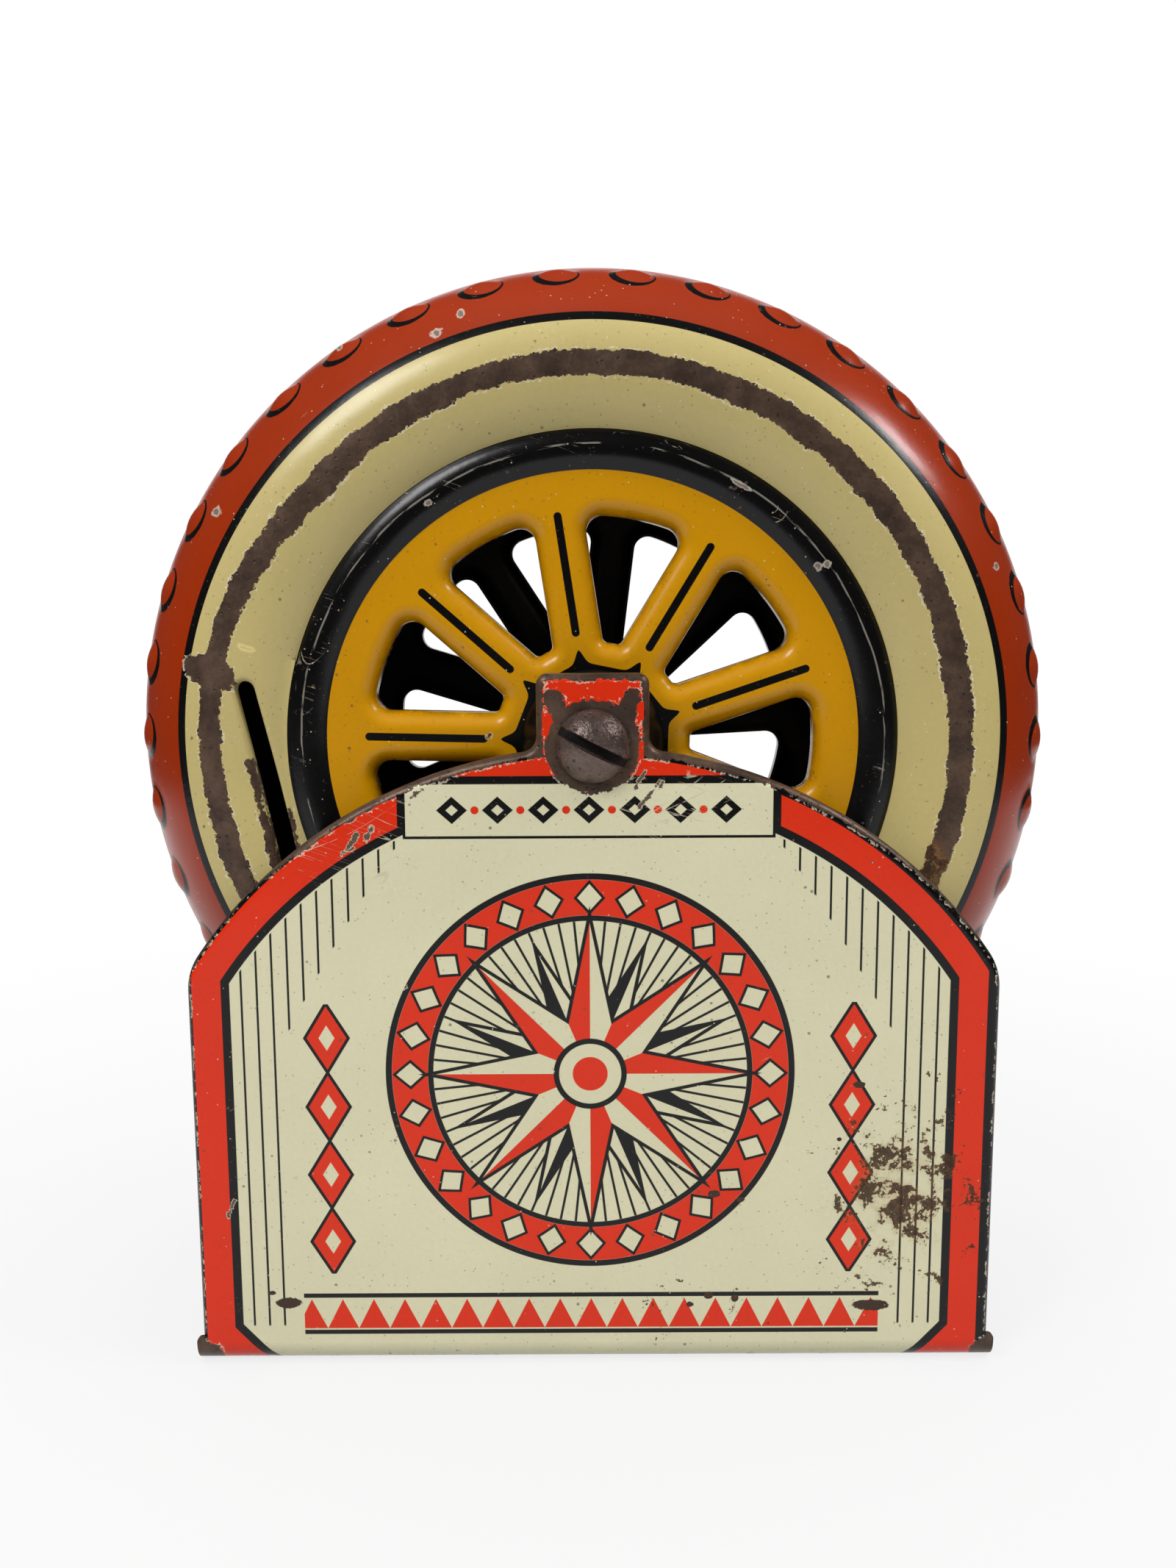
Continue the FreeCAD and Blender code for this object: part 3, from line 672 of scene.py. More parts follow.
# Brown spots on the front upright: where, how wide and how high.
FRONT_SPOTS = (
    (-39.5, 8.6, 1.6, 0.75),
    (-41.6, 10.0, 0.5, 0.3),
    (35.5, 8.0, 2.4, 0.75),
    (14.6, 9.4, 0.6, 0.5),
    (12.2, 8.2, 0.45, 0.35),
    (18.0, 9.0, 0.5, 0.5),
    (33.4, 37.6, 0.75, 0.45),
    (31.0, 30.4, 0.3, 0.25),
    (15.2, 23.2, 0.8, 0.5),
    (18.6, 22.4, 0.5, 0.35),
)

# Chips on the tyre and the bead: how far from the axle, at what angle, how long and how wide.
WHEEL_CHIPS = (
    (53.0, 112.0, 0.75, 0.6),
    (54.4, 108.3, 0.55, 0.6),
    (54.6, 149.8, 0.7, 0.75),
    (57.6, 124.1, 0.5, 0.5),
    (54.9, 24.4, 0.55, 0.5),
    (35.2, 39.2, 0.55, 0.5),
    (36.2, 38.4, 0.5, 0.5),
    (35.5, 125.6, 0.5, 0.4),
    (36.3, 61.2, 1.7, 0.3),
)


def lay_spoke_lines(art, radius, angle):
    """A black stripe along each spoke, and the black hub with a point towards each spoke."""
    from_spoke = (angle / SPOKE_PITCH - 0.5).off_nearest() * math.radians(SPOKE_PITCH)
    aside = radius * from_spoke.math("SINE")
    along = radius * from_spoke.math("COSINE")
    stripe = reach(aside, along - along.within(STRIPE_START, STRIPE_END)).below(STRIPE_HALF)
    to_window = math.radians(SPOKE_PITCH / 2) - from_spoke.size()
    hub_side = HUB_PRINT * to_window.math("COSINE").math("POWER", -1.0)
    hub_point = (aside * aside * -2.4).math("EXPONENT") * HUB_POINT
    hub = (radius - (hub_side + hub_point)).below(0.0)
    art.lay(stripe.at_least(hub), BLACK)


def lay_bead_scuffs(art, place, radius, angle, depth):
    """A broken pale line along the crest of the bead, and scuffs beside it."""
    streaks = noise(vector_of(angle * 0.16, radius * 2.4, depth), 1.0, 4.0)
    wandering = radius + (noise(place, 0.08, 2.0) - 0.5) * 1.2
    crease = wandering.between(BEAD_CREST, BEAD_CREST + 0.22, 0.12) * streaks.above(0.5, 0.08)
    scuffs = radius.between(BEAD_CREST - 1.2, BEAD_CREST + 1.6, 0.8) * streaks.above(0.72, 0.03)
    art.lay(crease.at_least(scuffs) * 0.5, ink(168, 162, 150))


def lay_knob_shadows(art, radius, angle, depth):
    """A black crescent printed along one side of each knob of the tread."""
    knob_turn = 360 / KNOB_COUNT
    across = ((angle - KNOB_PHASE) / knob_turn).off_nearest() * radius * math.radians(knob_turn)
    along = (depth - KNOB_LINE) / KNOB_TILT
    outline = reach(across, along).below(KNOB_RADIUS + 0.05, 0.12)
    lit_side = reach(across + 0.3, along + 0.1).below(KNOB_RADIUS - 0.48, 0.12)
    art.lay(outline * (1.0 - lit_side) * radius.above(TREAD_PRINT), BLACK)


def lay_chips(art, place, radius, angle, at_front):
    """Chips in the print of the front shell: bare metal with a pale edge."""
    ragged = ragged_edge(place)
    for from_axle, degrees, long, wide in WHEEL_CHIPS:
        run = (angle - degrees) * (from_axle * math.pi / 180)
        chip = reach(run / long, (radius - from_axle) / wide) + ragged * 1.9
        art.lay(chip.below(1.0, 0.3) * at_front * 0.6, ink(204, 197, 182))
        art.lay(chip.below(0.62, 0.2) * at_front, ink(116, 103, 92))


def lay_window_grime_and_shade(art, place, depth, on_plate):
    """Grime and painted shade, brown, on the rolled edges of the windows, and painted shade, near black, at
    their foot.
    """
    grime_and_shade = noise(place, 0.45, 6.0, 0.7).above(0.46, 0.3)
    in_roll = depth.below(FACE_DEPTH - 0.9, 1.6) * on_plate
    # Brown on the rolls: part grime, part painted shade that deepens down each roll.
    art.lay(in_roll * grime_and_shade * 0.5, ink(96, 62, 16))
    # Near black at the foot of each roll, where it turns inwards: painted shade.
    art.lay(depth.below(FACE_DEPTH - 2.6, 0.7) * on_plate * 0.9, ink(32, 22, 12))


def coin_slot_wear(x, y, depth, wander):
    """Wear on both lips of the coin slot, and a blot above it."""
    from_blot = x + 47.9
    blot = 2.0 - reach((from_blot + wander * 6.0) * 0.72, y - 7.9 + from_blot * 0.25)
    along, across = slot_axes(x, y)
    outer_lip = 0.5 - (across - COIN_SLOT_HALF - 0.35).size().at_least((along - 0.5).size() - 7.0)
    inner_lip = 0.35 - (across + COIN_SLOT_HALF + 0.3).size().at_least((along - 4.5).size() - 4.0)
    return blot.at_least(outer_lip.at_least(inner_lip) - depth.below(14.0) * FAR_OFF)


def wheel_print_material(aged_print):
    """The wheel's print: black hub, yellow spokes lined in black, black bead, cream sidewall, red tread."""
    material, tree, shader = new_material("wheel_print")
    place = millimetre_place(tree)
    node = tree.nodes.new("ShaderNodeAttribute")
    node.attribute_name = "pressing_place"
    x, y, depth = parts_of(Field(node.outputs["Vector"]))
    radius = reach(x, y)
    angle = bearing(y, x)
    at_front = parts_of(place)[1].below(0.0)
    on_plate = radius.below(BEAD_INNER)

    art = Print(YELLOW)
    lay_spoke_lines(art, radius, angle)
    art.lay(radius.above(BEAD_INNER), BLACK)
    lay_bead_scuffs(art, place, radius, angle, depth)
    art.lay(radius.above(BEAD_OUTER - 0.05), CREAM)
    art.lay(radius.above(RIM_LINE_INNER), BLACK)
    art.lay(radius.above(RIM_LINE_OUTER), TYRE_RED)
    lay_knob_shadows(art, radius, angle, depth)
    lay_chips(art, place, radius, angle, at_front)
    # Grime and painted shade on the rolled edges of the windows.
    lay_window_grime_and_shade(art, place, depth, on_plate)

    wander = noise(place, 0.05, 2.0) - 0.5
    from_left = bearing(y, x * -1.0)
    by_slot = from_left.below(28.0, 36.0) * from_left.above(-80.0, 40.0)
    ridge_wear = 1.5 + wander * 0.9 - (radius - WORN_RING - by_slot * 1.6 + wander * 1.2).size()
    slot_wear = coin_slot_wear(x, y, depth, wander) - (1.0 - at_front) * FAR_OFF
    window_wear = (FACE_DEPTH - 3.0 - depth) * 4.0 - 1.0
    worn = ridge_wear.at_least(slot_wear).at_least(-NO_WEAR)
    worn = worn.at_least(window_wear.at_most(-0.35) * on_plate - NO_WEAR * (1.0 - on_plate))
    by_rust = reach((x - 42.6) * 0.3, (y + 14.6) * 0.16).below(1.0, 1.2)
    rusted = by_rust * ridge_wear.above(-0.4, 0.6) * 0.6
    scratched = radius.between(35.0, 38.2, 0.5) * 0.12 + 0.2
    aged = use_group(tree, aged_print, Print=art.colour, Place=place, Worn=worn, Rusted=rusted,
                     Scratched=scratched)
    finish_print(tree, shader, aged, (noise(place, 0.06, 2.0) - 0.5) * 0.25)
    return material


def star_points(across, up, points, tip, notch):
    """How far a place is outside a star of so many points, and on which side of a point it lies."""
    step = 360.0 / points
    folded = (bearing(across, up) / step).off_nearest() * math.radians(step)
    out = reach(across, up)
    along = out * folded.math("COSINE")
    aside = out * folded.math("SINE")
    notch_x = notch * math.cos(math.radians(step / 2))
    notch_y = notch * math.sin(math.radians(step / 2))
    length = math.hypot(tip - notch_x, notch_y)
    outside = (along - tip) * (notch_y / length) + aside.size() * ((tip - notch_x) / length)
    return outside, aside


def off_stroke(across, up, start, end):
    """How far a place is from a straight stroke."""
    run_x = end[0] - start[0]
    run_z = end[1] - start[1]
    length = run_x * run_x + run_z * run_z
    share = ((across - start[0]) * (run_x / length) + (up - start[1]) * (run_z / length)).within(0.0, 1.0)
    return reach(across - start[0] - share * run_x, up - start[1] - share * run_z)


def diamond(across, up, half_width, half_height):
    """How far a place is outside a diamond."""
    length = math.hypot(half_width, half_height)
    return across.size() * (half_height / length) + up.size() * (half_width / length) \
        - half_width * half_height / length


def lay_border(art, side, arch, z):
    """A red border with black lines, round the cream field with its lower corners cut off. Gives back how far
    a place is outside the field and outside the red."""
    corner = (side - z * CORNER_SLOPE - CORNER_START) * CORNER_SHARE
    field = (side - FIELD_HALF).at_least(arch - FIELD_ARCH).at_least(corner)
    lined = (side - FIELD_HALF - FIELD_LINE).at_least(arch - FIELD_ARCH - FIELD_LINE)
    lined = lined.at_least(corner - FIELD_LINE)
    tab = (side - TAB_HALF + 0.2).at_least(RED_TAB_FOOT - z).at_least(z - TAB_TOP + 0.5)
    red = (side - RED_HALF).at_least(arch - RED_ARCH).at_most(tab)
    art.lay(red.below(0.0), STAND_RED)
    art.lay(lined.below(0.0), BLACK)
    art.lay(field.below(0.0), STAND_CREAM)
    return field, red


def lay_pinstripes(art, across, side, z, arch_centre, field):
    """Pinstripes at each side of the field: three down to the foot, then ever shorter ones from the arch."""
    pitch = 1.95
    longest = 14.6
    shorter_by = 1.9
    bars = (FIELD_HALF - 1.45 - side) / pitch
    number = bars.math("ROUND")
    hang = (longest - (number - 3.0) * shorter_by).at_least(0.0) + number.below(2.5, 0.1) * 90.0
    drop = (FIELD_ARCH * FIELD_ARCH - across * across).at_least(0.0).math("SQRT") + arch_centre - z
    stripe = (bars.off_nearest().size() * pitch).below(0.14, 0.1)
    stripe = stripe * drop.below(hang, 0.3) * number.above(-0.5, 0.1)
    art.lay(stripe * z.above(5.5, 0.3) * field.below(-0.2), BLACK)


def lay_plate(art, across, side, z, at_rear, red):
    """A cream plate under the tab, on the front only, with a chain of diamonds and dots."""
    pitch = 5.6
    plate = (side - PLATE_HALF).at_least(z - PLATE_HIGH).at_least(PLATE_LOW - z) + at_rear * FAR_OFF
    art.lay(z.above(PLATE_HIGH) * side.below(PLATE_HALF + 6.0) * red.below(0.0), STAND_RED)
    art.lay(plate.below(z.above(PLATE_LOW + 1.0) * 0.65 + 0.35), BLACK)
    art.lay(plate.below(0.0), STAND_CREAM)
    link = (across / pitch).off_nearest() * pitch
    up = z - 72.8
    in_plate = plate.below(-0.5) * side.below(18.9)
    art.lay(diamond(link, up, 1.9, 1.7).below(0.0) * in_plate, BLACK)
    art.lay(diamond(link, up, 0.75, 0.67).below(0.0) * in_plate, STAND_CREAM)
    art.lay(reach(link.size() - pitch / 2, up).below(0.5) * in_plate, STAND_RED)


def lay_medallion(art, across, up):
    """A round medallion: a rim of diamonds, fine rays, two stars of eight points and an eye."""
    full_turn = 2 * math.pi
    beads = 28
    rays = 64
    ray_end = 19.7
    rim_inner = 20.4
    rim_outer = 24.9
    out = reach(across, up)
    turn = across.math("ARCTAN2", up)
    art.lay(out.between(rim_outer, rim_outer + 0.8), BLACK)
    art.lay(out.between(rim_inner, rim_outer), STAND_RED)
    bead_aside = (turn * (beads / full_turn)).off_nearest() * out * (full_turn / beads)
    bead = diamond(bead_aside, out - (rim_inner + rim_outer) / 2, 1.5, 1.7)
    art.lay(bead.below(0.35), BLACK)
    art.lay(bead.below(0.0), STAND_CREAM)
    art.lay(out.between(ray_end, rim_inner), BLACK)
    ray_aside = (turn * (rays / full_turn)).off_nearest().size() * out * (full_turn / rays)
    art.lay(ray_aside.below(0.16, 0.1) * out.below(ray_end), BLACK)
    half_point = math.radians(22.5)
    turned_across = across * math.cos(half_point) - up * math.sin(half_point)
    turned_up = across * math.sin(half_point) + up * math.cos(half_point)
    for star_across, star_up, tip, notch, dark_half in (
        (turned_across, turned_up, 16.6, 5.6, BLACK),
        (across, up, 19.4, 7.0, STAND_RED),
    ):
        outside, aside = star_points(star_across, star_up, 8, tip, notch)
        art.lay(outside.below(0.45), BLACK)
        art.lay(outside.below(0.0) * aside.above(0.0), STAND_CREAM)
        art.lay(outside.below(0.0) * aside.below(0.0), dark_half)
    for radius, colour in ((4.6, BLACK), (3.9, STAND_CREAM), (2.2, STAND_RED)):
        art.lay(out.below(radius), colour)


def lay_lozenges(art, side, z):
    """A column of lozenges at each side of the medallion."""
    pitch = 9.0
    aside = side - 33.0
    link = ((z - 17.0) / pitch).off_nearest() * pitch
    in_column = z.between(12.6, 48.4)
    lozenge = diamond(aside, link, 2.5, 4.1)
    art.lay(lozenge.below(0.4) * in_column, BLACK)
    art.lay(lozenge.below(0.0) * in_column, STAND_RED)
    art.lay(diamond(aside, link, 1.0, 1.64).below(0.0) * in_column, STAND_CREAM)


def lay_teeth(art, across, side, z):
    """A row of red teeth between two black lines along the foot."""
    pitch = 4.0
    band = side.below(37.0)
    for low, high in ((4.3, 4.9), (9.3, 9.9)):
        art.lay(z.between(low, high) * band, BLACK)
    tooth = (across / pitch).off_nearest().size() * pitch
    art.lay((tooth * 2.0 + (z - 9.1)).below(0.0) * z.above(5.1) * band, STAND_RED)


def lay_front_marks(art, place, x, z, at_front):
    """Bold scratches and brown spots on the front upright."""
    ragged = ragged_edge(place)
    for start, end, width in FRONT_SCRATCHES:
        stroke = off_stroke(x, z, start, end) + ragged * 1.5
        art.lay(stroke.below(width + 0.08) * at_front, ink(206, 196, 172))
        art.lay(stroke.below(width) * at_front, ink(92, 77, 64))
    for spot_x, spot_z, wide, high in FRONT_SPOTS:
        spot = reach((x - spot_x) / wide, (z - spot_z) / high) + ragged * 0.8
        art.lay(spot.below(1.0, 0.15) * at_front, ink(58, 39, 25))


def stand_wear(x, z, arch_centre):
    """Wear along the edges of the sheet, round the screw, beside it on the tab, and at the feet."""
    edge = (HALF_WIDTH - x.size()).at_most(ARCH_RADIUS - reach(x, z - arch_centre))
    on_tab = (TAB_HALF - x.size()).at_most(TAB_TOP - z)
    edge = edge.at_least(on_tab * z.above(ARCH_CENTRE + ARCH_RADIUS - 1.0, 0.5))
    above_axle = z - AXLE_HEIGHT
    edge_wear = 0.3 + z.above(67.0, 14.0) * 0.5 - edge
    screw_wear = 5.8 - reach(x, above_axle)
    tab_wear = 1.15 - off_stroke(x.size(), above_axle, (4.0, 3.6), (4.7, 5.8))
    foot_wear = (0.5 - z).at_least(2.2 - reach(x.size() - 50.5, z - 1.0))
    return edge_wear.at_least(screw_wear).at_least(tab_wear).at_least(foot_wear).at_least(-NO_WEAR)


def stand_print_material(aged_print):
    """The stand's print: red border lined in black, cream field with pinstripes, a star medallion."""
    material, tree, shader = new_material("stand_print")
    place = millimetre_place(tree)
    x, y, z = parts_of(place)
    across = x + PRINT_SHIFT
    side = across.size()
    at_rear = y.above(0.0)
    at_front = 1.0 - at_rear
    arch_centre = ARCH_CENTRE - at_rear * REAR_ARCH_DROP

    art = Print(BLACK)
    field, red = lay_border(art, side, reach(across, z - arch_centre), z)
    lay_pinstripes(art, across, side, z, arch_centre, field)
    lay_plate(art, across, side, z, at_rear, red)
    lay_medallion(art, across, z - MEDALLION_HEIGHT)
    lay_lozenges(art, side, z)
    lay_teeth(art, across, side, z)
    lay_front_marks(art, place, x, z, at_front)

    side_rust = 0.72 - reach((x - 38.8) * 0.07, (z - 23.5) * 0.05) * 0.6
    foot_rust = 0.4 - reach((x - 13.0) * 0.05, (z - 7.5) * 0.14) * 0.4
    rusted = side_rust.at_least(foot_rust) * at_front
    by_tab = reach((x + 29.0) * 0.1, (z - 70.0) * 0.14).below(1.0, 0.8)
    by_plate = reach((x - 9.0) * 0.1, (z - 73.0) * 0.2).below(1.0, 0.8)
    scratched = by_tab.at_least(by_plate) * 0.26 + 0.24
    aged = use_group(tree, aged_print, Print=art.colour, Place=place, Worn=stand_wear(x, z, arch_centre),
                     Rusted=rusted, Scratched=scratched)
    finish_print(tree, shader, aged, (noise(place, 0.045, 2.0) - 0.5) * 0.28)
    return material


def metal_material(name, tarnish, metal, metallic, rust, slotted=False):
    """Plain metal under its own tarnish; a slotted head has painted shade, near black, in its driver slot."""
    material, tree, shader = new_material(name)
    place = millimetre_place(tree)
    aged = use_group(tree, tarnish, Place=place, Metal=metal, Rust=rust)
    if slotted:
        x, y, z = parts_of(place)
        slant = math.radians(DRIVER_SLOT_ANGLE)
        off_middle = (z - AXLE_HEIGHT) * math.cos(slant) - x * math.sin(slant)
        grime_and_shade = off_middle.size().below(DRIVER_SLOT_WIDTH / 2 - 0.15, 0.2) * y.below(0.0)
        # Painted shade: the inside of the driver slot darkened to near black.
        aged["Color"] = printed(aged["Color"], grime_and_shade * 0.93, ink(10, 8, 7))
        aged["Roughness"] = aged["Roughness"] + grime_and_shade * 0.4 - 0.08
        aged["Height"] = aged["Height"] * 2.4 + (noise(place, 0.5, 3.0) - 0.5) * 0.25
    feed_inputs(shader, {
        "Base Color": aged["Color"],
        "Roughness": aged["Roughness"],
        "Metallic": metallic,
    })
    raise_surface(tree, shader, aged["Height"])
    return material


# The wheel.
def tyre_profile():
    """The shell's section from the seam to the inner edge of the bead, as (radius, depth) pairs."""
    join = math.degrees(TYRE_JOIN)
    profile = [
        (TREAD_RADIUS - 0.25, 0.03),
        (TREAD_RADIUS - 0.08, 0.12),
        (TREAD_RADIUS, 0.4),
        (TREAD_RADIUS, 1.2),
    ]
    profile += arc_points((TREAD_RADIUS - TREAD_ARC, SEAM_BAND), TREAD_ARC, 0, join, 30)
    profile += arc_points((RIDGE_RADIUS, RIDGE_DEPTH - SHOULDER_ARC), SHOULDER_ARC, join, 90, 14)
    radii = [RIDGE_RADIUS - SIDEWALL_WIDTH * step / 12 for step in range(12)]
    radii += [BEAD_OUTER - BEAD_WIDTH * step / 10 for step in range(11)]
    profile += [(radius, face_height(radius)) for radius in radii]
    profile.append((BEAD_INNER - GUARD, FACE_DEPTH))
    return profile


def face_height(radius):
    """The depth of the sidewall and the bead at a radius."""
    if radius >= BEAD_OUTER:
        arc = (SIDEWALL_WIDTH ** 2 + SIDEWALL_DROP ** 2) / (2 * SIDEWALL_DROP)
        return RIDGE_DEPTH - arc + math.sqrt(arc ** 2 - (RIDGE_RADIUS - radius) ** 2)
    half = BEAD_WIDTH / 2
    arc = (half ** 2 + BEAD_HEIGHT ** 2) / (2 * BEAD_HEIGHT)
    return FACE_DEPTH + BEAD_HEIGHT - arc + math.sqrt(arc ** 2 - (radius - BEAD_OUTER + half) ** 2)


def circle(radius, depth, count):
    return [(*place, depth) for place in arc_points((0, 0), radius, 0, 360, count)]


def window_outline(growth):
    """One window between two spokes, grown all round, with its middle on the X axis."""
    half_pitch = math.radians(SPOKE_PITCH / 2)
    along_spoke = Vector((math.cos(half_pitch), math.sin(half_pitch)))
    into_window = Vector((math.sin(half_pitch), -math.cos(half_pitch)))
    rim_aside = SPOKE_HALF + WINDOW_OUTER_CORNER
    rim_run = math.sqrt((WINDOW_OUTER - WINDOW_OUTER_CORNER) ** 2 - rim_aside ** 2)
    hub_aside = SPOKE_HALF + WINDOW_INNER_CORNER
    hub_run = math.sqrt((WINDOW_INNER + WINDOW_INNER_CORNER) ** 2 - hub_aside ** 2)
    rim_centre = along_spoke * rim_run + into_window * rim_aside
    hub_centre = along_spoke * hub_run + into_window * hub_aside
    rim_turn = math.degrees(math.atan2(rim_centre.y, rim_centre.x))
    hub_turn = math.degrees(math.atan2(hub_centre.y, hub_centre.x))
    spoke_side = SPOKE_PITCH / 2 + 90
    edge = into_window * (SPOKE_HALF - growth)
    upper = arc_points((0, 0), WINDOW_OUTER + growth, 0, rim_turn, 9)
    upper += arc_points(rim_centre, WINDOW_OUTER_CORNER + growth, rim_turn, spoke_side, 9)
    upper += line_points(along_spoke * rim_run + edge, along_spoke * hub_run + edge, 14)
    upper += arc_points(hub_centre, WINDOW_INNER_CORNER + growth, spoke_side, hub_turn + 180, 8)
    upper += arc_points((0, 0), WINDOW_INNER - growth, hub_turn, 0, 3)
    hub_middle = (WINDOW_INNER - growth, 0.0)
    lower = [(x, -y) for x, y in reversed(upper[1:])]
    return upper + [hub_middle] + lower


def slot_outline(growth):
    """The coin slot's round-ended outline, grown all round."""
    half = COIN_SLOT_HALF + growth
    points = line_points((half, COIN_SLOT_LOW), (half, COIN_SLOT_HIGH), 26)
    points += arc_points((0, COIN_SLOT_HIGH), half, 0, 180, 10)
    points += line_points((-half, COIN_SLOT_HIGH), (-half, COIN_SLOT_LOW), 26)
    points += arc_points((0, COIN_SLOT_LOW), half, 180, 360, 10)
    cosine = math.cos(COIN_SLOT_ANGLE)
    sine = math.sin(COIN_SLOT_ANGLE)
    return [((COIN_SLOT_RADIUS + u) * cosine - v * sine, (COIN_SLOT_RADIUS + u) * sine + v * cosine)
            for u, v in points]


def slot_axes(x, y):
    """A place as a run along the coin slot and one across it, as numbers or as fields."""
    along = y * math.cos(COIN_SLOT_ANGLE) - x * math.sin(COIN_SLOT_ANGLE)
    across = x * math.cos(COIN_SLOT_ANGLE) + y * math.sin(COIN_SLOT_ANGLE) - COIN_SLOT_RADIUS
    return along, across


def off_slot(x, y):
    """How far a place is from the coin slot's middle line."""
    along, across = slot_axes(x, y)
    nearest = min(max(along, COIN_SLOT_LOW), COIN_SLOT_HIGH)
    return math.hypot(across, along - nearest)


def press_coin_slot(shell, rings, rows, columns):
    """Opens the coin slot in the sidewall, with its lips rolled inwards."""
    outer = [rings[rows[0]][column] for column in columns]
    right = [rings[row][columns[-1]] for row in rows[1:-1]]
    inner = [rings[rows[-1]][column] for column in reversed(columns)]
    left = [rings[row][columns[0]] for row in reversed(rows[1:-1])]
    lip_loops = []
    for growth, sink in [*rolled(COIN_SLOT_ROLL, 6), (0.0, COIN_SLOT_LIP)]:
        places = slot_outline(growth)
        lip_loops.append(shell.ring([(x, y, face_height(math.hypot(x, y)) - sink) for x, y in places]))
    shell.stack(lip_loops)
    clear = COIN_SLOT_HALF + COIN_SLOT_ROLL + SLOT_PATCH_GUARD
    loose = []
    for row in rows[1:-1]:
        for column in columns[1:-1]:
            x, y, _ = shell.points[rings[row][column]]
            if off_slot(x, y) > clear:
                loose.append(rings[row][column])
    shell.fill([outer + right + inner + left, lip_loops[0]], loose)


def press_shell(name, slotted):
    """One half of the wheel, as a sheet with no thickness yet, along its own +Z."""
    shell = Pressing()
    profile = tyre_profile()
    rings = [shell.ring(circle(radius, depth, WHEEL_SEGMENTS)) for radius, depth in profile]
    rows = [row for row, (radius, depth) in enumerate(profile)
            if depth > FACE_DEPTH and SLOT_PATCH_INNER < radius < SLOT_PATCH_OUTER]
    turn = COIN_SLOT_ANGLE / (2 * math.pi) * WHEEL_SEGMENTS
    first_column = round(turn - SLOT_PATCH_BEFORE * WHEEL_SEGMENTS)
    last_column = round(turn + SLOT_PATCH_AFTER * WHEEL_SEGMENTS)
    columns = list(range(first_column, last_column))
    for row, (outer, inner) in enumerate(zip(rings, rings[1:])):
        opened = slotted and rows[0] <= row < rows[-1]
        shell.bridge(outer, inner, skip=set(columns[:-1]) if opened else ())
    if slotted:
        press_coin_slot(shell, rings, rows, columns)

    window_loops = []
    for spoke in range(SPOKE_COUNT):
        turn = Matrix.Rotation(math.radians(spoke * SPOKE_PITCH), 2)
        loops = []
        for growth, sink in [(WINDOW_ROLL + GUARD, 0.0), *rolled(WINDOW_ROLL, 8), (0.0, WINDOW_LIP)]:
            places = [turn @ Vector(place) for place in window_outline(growth)]
            loops.append(shell.ring([(x, y, FACE_DEPTH - sink) for x, y in places]))
        shell.stack(loops)
        window_loops.append(loops[0])

    rise = HUB_TOP - FACE_DEPTH
    run = HUB_FOOT - HUB_TOP_RADIUS
    half_chord = math.hypot(rise, run) / 2
    arc = (half_chord ** 2 + HUB_SWELL ** 2) / (2 * HUB_SWELL)
    hub_rings = [shell.ring(circle(HUB_FOOT + GUARD, FACE_DEPTH, HUB_SEGMENTS))]
    for step in range(9):
        share = step / 8
        swell = math.sqrt(arc ** 2 - (half_chord * (2 * share - 1)) ** 2) - (arc - HUB_SWELL)
        radius = HUB_FOOT - run * share + swell * rise / (2 * half_chord)
        depth = FACE_DEPTH + rise * share + swell * run / (2 * half_chord)
        hub_rings.append(shell.ring(circle(radius, depth, HUB_SEGMENTS)))
    hub_rings.append(shell.ring(circle(HUB_BORE, HUB_TOP, HUB_SEGMENTS)))
    shell.stack(hub_rings)
    shell.fill([rings[-1], *window_loops, hub_rings[0]])

    mesh = shell.mesh(name)
    kept = mesh.attributes.new("pressing_place", "FLOAT_VECTOR", "POINT")
    places = np.empty(len(mesh.vertices) * 3, dtype=np.float32)
    mesh.vertices.foreach_get("co", places)
    kept.data.foreach_set("vector", places)
    return mesh


